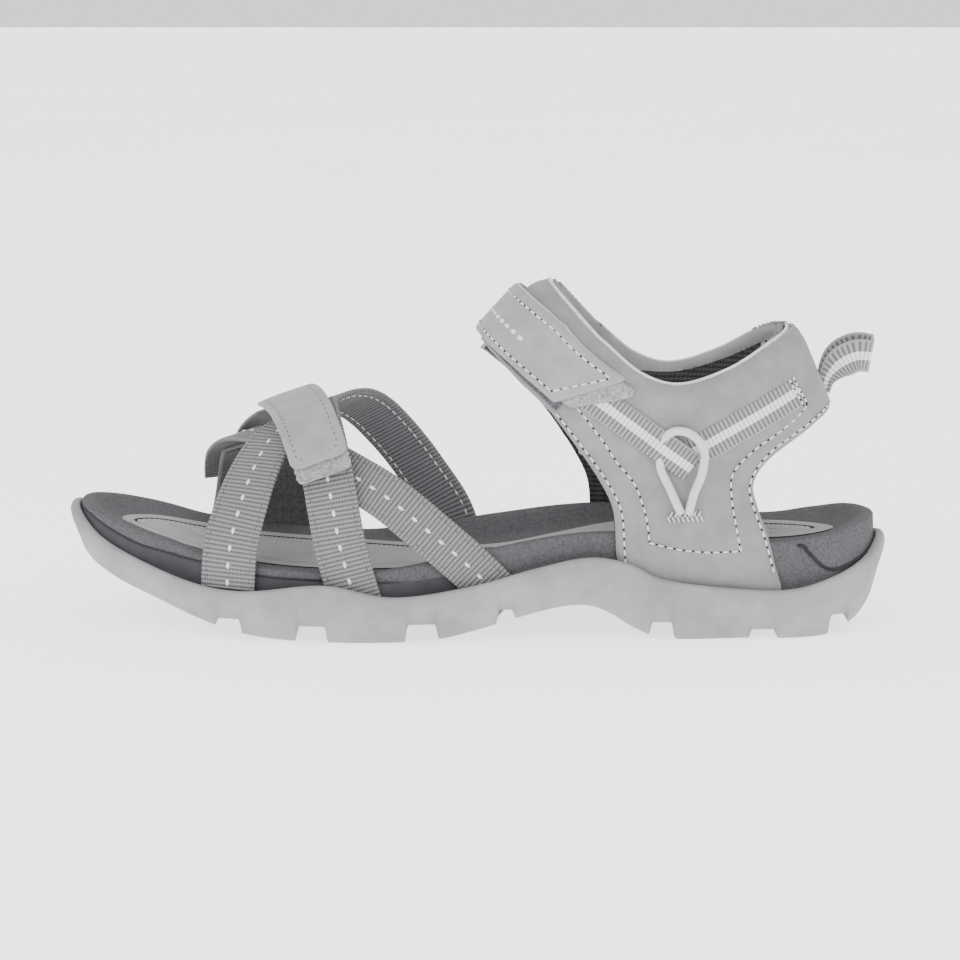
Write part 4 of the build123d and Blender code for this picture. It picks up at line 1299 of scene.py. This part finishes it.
for side_sign, word in SIDES:
    skin = panel(f"{word}_quarter_skin", quarter_outline(side_sign), MICRO, 0.0, 1.1, puff=0.5,
                 wrinkle=0.45, bend=skin_bend, edge=0.8, edge_material=RAW_EDGE)
    ride(skin, "sandal", "grey_synthetic", f"{word}_quarter")
for side_sign, word in SIDES:
    lining = panel(f"{word}_lining_skin", quarter_outline(side_sign), MESH, -1.1, 0.7,
                   bend=lining_bend, edge=0.3)
    face_collar(lining)
    ride(lining, "sandal", "mesh_lining", "quarter_lining", "collar_foam")

SEAM_INSET = 2.0
SEAM_BOTTOM = 19.0        # the front row goes down to here, inside the sole


def lead_row(side_sign, inset):
    """Row inside the front edge of a quarter, from the wing down."""
    shift = 0 if side_sign < 0 else MEDIAL_LEAD_SHIFT
    row = [(x + shift + inset, z) for x, z in curve_through(QUARTER_LOWER_LEAD, 10)]
    row.append((row[-1][0] + 0.1, SEAM_BOTTOM))
    return [flat(x, z, side_sign) for x, z in row]


def rear_row(side_sign, inset):
    """Row inside the back edge of a quarter, from the sole up to the heel."""
    row = []
    dense = curve_through(QUARTER_BACK, 10)
    for i, (x, z) in enumerate(dense):
        ahead = Vector(dense[min(i + 1, len(dense) - 1)]) - Vector(dense[max(i - 1, 0)])
        ahead.normalize()
        row.append((x - ahead.y * inset, z + ahead.x * inset))
    return [flat(x, z, side_sign) for x, z in row[4:-3]]


# Sewn line round the padded middle of a quarter, from the wing down, across and up to the heel.
PADDING_LINE = [(30, 72.3), (36.9, 63.3), (42, 55.5), (47.5, 48.5), (50.9, 38.9), (52.2, 30.2)]
PADDING_BASE = [(52.2, 30.2), (60.3, 28.2), (70, 27.1), (80.4, 27.3)]
PADDING_BACK = [(80.4, 27.3), (78.7, 35.8), (77.3, 45), (77.9, 51.9), (84, 58.4),
                (92.1, 63.9), (98.2, 68.6), (101.5, 72.5)]

for side_sign, word in SIDES:
    seam(f"{word}_front_seam", lead_row(side_sign, SEAM_INSET), 0.45)
    seam(f"{word}_back_seam", rear_row(side_sign, SEAM_INSET), 0.45)
    for part, line in (("front", PADDING_LINE), ("base", PADDING_BASE), ("back", PADDING_BACK)):
        shift = 0 if side_sign < 0 or part == "back" else MEDIAL_LEAD_SHIFT * 0.6
        route = [flat(x + shift, z, side_sign) for x, z in curve_through(line, 10)]
        seam(f"{word}_padding_{part}_seam", route, 0.55)


def collar_edge(side_sign):
    """Top edge of the collar from the wing's end to the heel seam, in panel coordinates."""
    last = shaft_turn(*COLLAR_LINE[-1], side_sign)
    route = band_run(wing_turn(side_sign), last, WING_HIGH)[:-1]
    route += [flat(x, z, side_sign) for x, z in reversed(curve_through(COLLAR_LINE, 10))]
    route.append((side_sign * math.pi * TURN_SCALE, COLLAR_LINE[0][1]))
    return route


def piping():
    """Thin pale edge where the skin and the lining meet on top of the collar."""
    route = collar_edge(-1) + list(reversed(collar_edge(1)))[1:]
    path = [shaft_point(x / TURN_SCALE, z + 0.1, -ROLL - 0.1) for x, z in route]
    return tube("collar_piping", spaced(path, 0.8), 0.55, RAW_EDGE, 10)


# ---- ankle strap and tab -------------------------------------------------------------
def place_on(out_along):
    """Lateral place over the instep in panel coordinates."""
    return flat(*on_instep(*out_along), -1)


TAB_ROOT_TURN = turn_at_y(TAB_SEAM_Y)
STRAP_RISE = 2.4          # the strap climbs this much from the medial quarter to the tab
STRAP_RISE_TURN = 0.45    # turn over which it climbs


def tab_outline(inset=0.0):
    """Outline of the ankle strap and its tab, from the medial end round to the lateral one."""
    medial_low = shaft_turn(*on_instep(32, TAB_LOW + inset), 1)
    medial_high = shaft_turn(*on_instep(30, TAB_HIGH - inset), 1)
    low_corner, tip_corner, high_corner = TAB_END
    low_turn = shaft_turn(*on_instep(low_corner[0] + inset, TAB_LOW + inset), -1)
    high_turn = shaft_turn(*on_instep(high_corner[0], high_corner[1] - inset), -1)
    route = band_run(medial_low, low_turn, TAB_LOW + inset, 36)
    tip = place_on((tip_corner[0] + inset * 1.4, tip_corner[1] - inset))
    route.append(((route[-1][0] * 0.15 + tip[0] * 0.85), (route[-1][1] * 0.15 + tip[1] * 0.85)))
    route += rounded([route[-1], tip, (high_turn * TURN_SCALE, height_along(
        high_turn, high_corner[1] - inset))], 3.0)[6:12]
    route += band_run(high_turn, medial_high, high_corner[1] - inset, 36, TAB_HIGH - inset)
    return route


def tab_bend(x, z, away):
    """The strap climbs from the medial quarter up to the tab's own level."""
    return -STRAP_RISE * ease((x / TURN_SCALE - TAB_ROOT_TURN) / STRAP_RISE_TURN)


tab_skin = panel("ankle_tab_skin", tab_outline(), MICRO_TAB, 3.5, 1.1, spacing=1.0, puff=0.25,
                 wrinkle=0.35, bend=tab_bend, edge=0.7, edge_material=RAW_EDGE)
ride(tab_skin, "fold", "grey_synthetic", "ankle_tab", "ankle_strap")
seam("ankle_tab_seam", tab_outline(2.6), 3.72, "fold", closed=True)

hook_outline = rounded([place_on(p) for p in HOOK_END], 1.5)
hook_skin = panel("ankle_hook_skin", hook_outline, HOOK_PILE, 2.25, 0.8, wrinkle=0.5,
                  edge_material=RAW_EDGE)
ride(hook_skin, "ankle_flap", "hook_tape", "ankle_hook_patch")
loop_low = shaft_turn(*on_instep(31, 68.2), -1)
loop_high = shaft_turn(*on_instep(31, 86.5), -1)
loop_outline = band_run(-0.12, loop_low, 68.2) + band_run(loop_high, -0.12, 86.5)
loop_skin = panel("ankle_loop_skin", loop_outline, LOOP_PILE, 1.1, 1.0, wrinkle=0.3)
ride(loop_skin, "sandal", "loop_pile", "ankle_loop_patch")


def mark_row():
    """Row of small plain oval marks along the middle of the tab."""
    places = []
    for k in range(7):
        turn = -0.13 - 0.1 * k
        z = height_along(turn, 79.6)
        spot, normal = shaft_frame(turn, z, 3.78)
        after = shaft_point(turn - 0.02, height_along(turn - 0.02, 79.6), 3.78)
        places.append((spot, normal, (after - spot).normalized()))
    return places


marks = beads("ankle_tab_marks", mark_row(), THREAD_WHITE, 2.4, 1.5, 0.22)
ride(marks, "ankle_flap", "white_elastic")


# ---- ribbon, elastic cord and pull loop ----------------------------------------------
def ribbon_uv(start, end):
    """Ribbon coordinates in millimetres: along a run and across from its middle line."""
    first = Vector((start[0], 0, start[1]))
    ahead = (Vector((end[0], 0, end[1])) - first).normalized()
    side = Vector((-ahead.z, 0, ahead.x))

    def place(point):
        reach = point - first
        return (reach.dot(ahead), reach.dot(side))
    return place


def over_cord(x, z, away):
    """The front run arches over the elastic that passes behind it."""
    centre = flat(57.6, 59.6, -1)
    return 2.1 * math.exp(-(((x - centre[0]) / 3.6) ** 2 + ((z - centre[1]) / 4.5) ** 2))


RIBBON_LAYERS = ((1.6, "front"), (1.0, "back"))
for (start, end), (level, word) in zip(RIBBON_RUNS, RIBBON_LAYERS):
    ahead = (Vector(end) - Vector(start)).normalized()
    side = Vector((-ahead.y, ahead.x)) * RIBBON_WIDTH / 2
    reach = Vector(end) + ahead * (2.2 if word == "front" else 0)
    corners = [Vector(start) + side, Vector(start) - side, reach - side, reach + side]
    edge_points = spaced([(p.x, p.y) for p in corners], 2.0, closed=True)
    outline = [flat(p.x, p.y, -1) for p in edge_points]
    run = panel(f"ribbon_{word}", outline, RIBBON, level, 0.9, spacing=0.9, edge=0.4,
                uv=ribbon_uv(start, end), bend=over_cord if word == "front" else None)
    ride(run, "sandal", "striped_ribbon", "heel_ribbon")

tail_start, tail_end = RIBBON_RUNS[1]
tail = (Vector(tail_end) - Vector(tail_start)).normalized()
tail_side = Vector((-tail.y, tail.x))
for k, back in enumerate((0.2, 1.5)):
    middle = Vector(tail_end) - tail * back
    ends = [middle + tail_side * 4.9, middle - tail_side * 4.9]
    route = [flat(p.x, p.y, -1) for p in ends]
    seam(f"ribbon_end_seam_{k}", route, 1.15, pitch=2.0)


ride(piping(), "sandal", "grey_synthetic")


def cord_path():
    """Smooth route of the elastic: behind the front run, then over the back run."""
    corners = [(61.9, 39.6), (58.6, 47), (55.4, 54.2), (55.8, 61.2), (59.2, 65.2), (64.6, 64.6),
               (68.6, 59.8), (68.2, 52.6), (65.8, 46), (64.3, 39.6)]
    depths = [35.6, 35.6, 35.3, 35.2, 35.6, 36.7, 37.2, 37.0, 36.4, 35.6]
    rows = [(x, -depth, z) for (x, z), depth in zip(corners, depths)]
    return spaced(curve_through(rows, 16), 0.4)


elastic = tube("elastic_cord", cord_path(), CORD_RADIUS, ELASTIC)
ride(elastic, "sandal", "white_elastic", "cord_loop")

zigzag = []
for k in range(15):
    x = 57.9 + k * 0.72
    z = 38.3 + (0.75 if k % 2 else -0.75) + 0.02 * k
    spot, normal = shaft_frame(flat(x, z, -1)[0] / TURN_SCALE, z, 0.75)
    ahead = Vector((0.5, 0, 1.0 if k % 2 else -1.0)).normalized()
    zigzag.append((spot, normal, ahead))
bartack = beads("cord_bartack_thread", zigzag, CREAM, 2.6, 0.8, 0.7)
ride(bartack, "sandal", "grey_thread", "cord_bartack")


def pull_loop():
    """Folded ribbon loop at the heel: two strands side by side, open near the tip."""
    spine = curve_through([(108.6, 73.8), (109.4, 78.4), (112.8, 82.8), (118.2, 85.4),
                           (122.8, 85.0)], 14)
    row = spaced(spine, 0.45)
    length = (len(row) - 1) * 0.45
    outward, back = [], []
    for i, spot in enumerate(row):
        ahead = (row[min(i + 1, len(row) - 1)] - row[max(i - 1, 0)]).normalized()
        wide = Vector((-ahead.y, 0, ahead.x))
        share = i / (len(row) - 1)
        spread = 0.7 + 3.6 * math.sin(math.pi * min(share, 0.97)) ** 0.8 * (0.35 + 0.65 * share)
        tip = max(0.0, 1 - (1 - share) / 0.16)
        spread = max(0.62, spread * math.sqrt(max(1 - tip * tip, 0.02)))
        middle = Vector((spot.x, SHAFT_CENTRE_Y, spot.y))
        outward.append((middle + Vector((0, -spread, -0.5)), wide, share * length))
        back.append((middle + Vector((0, spread, 1.3 * share)), wide, 2 * length - share * length))
    path = outward + list(reversed(back))
    half_wide, half_thick = PULL_WIDTH / 2, 0.5
    rings, uvs = [], []
    for i, (spot, wide, reach) in enumerate(path):
        ahead = (path[min(i + 1, len(path) - 1)][0] - path[max(i - 1, 0)][0]).normalized()
        normal = ahead.cross(wide).normalized()
        pinch = 0.36 + 0.62 * ease(min(reach, 2 * length - reach) / (length * 0.62))
        ring = []
        profile = [(v / 6, half_thick) for v in range(-6, 7)]
        profile += [(-v / 6, -half_thick) for v in range(-6, 7)]
        for v, h in profile:
            ring.append(spot + wide * v * half_wide * pinch + normal * h)
            uvs.append((reach, v * half_wide))
        rings.append(ring)
    points, faces = loft_rings(rings, capped=True)
    piece = new_object("pull_loop_ribbon", points, faces, RIBBON, uvs)
    fix_normals(piece)
    return piece


heel_pull = pull_loop()
ride(heel_pull, "pull_loop", "striped_ribbon", "pull_loop")


# ---- floor, light, camera ------------------------------------------------------------
def studio():
    """Pale floor, soft lights and the camera."""
    scene = bpy.context.scene
    world = bpy.data.worlds.new("studio")
    world.use_nodes = True
    background = world.node_tree.nodes["Background"]
    background.inputs["Color"].default_value = (1.0, 1.0, 1.0, 1.0)
    background.inputs["Strength"].default_value = 1.3
    scene.world = world

    floor_look = grained("floor_look", colour(246, 246, 246), colour(250, 250, 250), 3.0, 0.9,
                         40.0, 0.00001)
    glow = floor_look.node_tree.nodes["Principled BSDF"]
    glow.inputs["Emission Color"].default_value = (1.0, 1.0, 1.0, 1.0)
    glow.inputs["Emission Strength"].default_value = 1.5
    mesh = bpy.data.meshes.new("floor")
    side = 6.0
    mesh.from_pydata([(-side, -side, -0.0002), (side, -side, -0.0002), (side, side, -0.0002),
                      (-side, side, -0.0002)], [], [(0, 1, 2, 3)])
    mesh.materials.append(floor_look)
    floor = bpy.data.objects.new("floor", mesh)
    scene.collection.objects.link(floor)

    def area(name, place, size, power):
        light = bpy.data.lights.new(name, "AREA")
        light.size = size
        light.energy = power
        lamp = bpy.data.objects.new(name, light)
        lamp.location = place
        aim = Vector((0, 0, 0.04)) - Vector(place)
        lamp.rotation_euler = aim.to_track_quat("-Z", "Y").to_euler()
        scene.collection.objects.link(lamp)

    area("key", (-0.6, -0.9, 1.1), 0.9, 6.5)
    area("top", (0.2, 0.2, 1.4), 1.2, 4.0)
    area("fill", (1.0, -0.7, 0.5), 0.8, 1.5)

    camera_data = bpy.data.cameras.new("camera")
    camera_data.lens = 117.6
    camera_data.sensor_width = 36.0
    camera = bpy.data.objects.new("camera", camera_data)
    target = Vector((0, 0, 0.0439))
    tilt = math.radians(10)
    camera.location = target + Vector((0, -math.cos(tilt), math.sin(tilt)))
    camera.rotation_euler = (target - camera.location).to_track_quat("-Z", "Y").to_euler()
    scene.collection.objects.link(camera)
    scene.camera = camera


studio()
# thin dark tubes that paint the heel groove's shadow
for piece in heel_groove_shadow(sole_plan):
    ride(piece, "sandal", "footbed_foam")
ride(outsole_body, "sandal", "outsole_rubber", "outsole")
for piece in footbed_pieces:
    ride(piece, "sandal", "footbed_foam", "footbed")
ride(inlay_top, "sandal", "inlay_foam", "footbed_inlay")
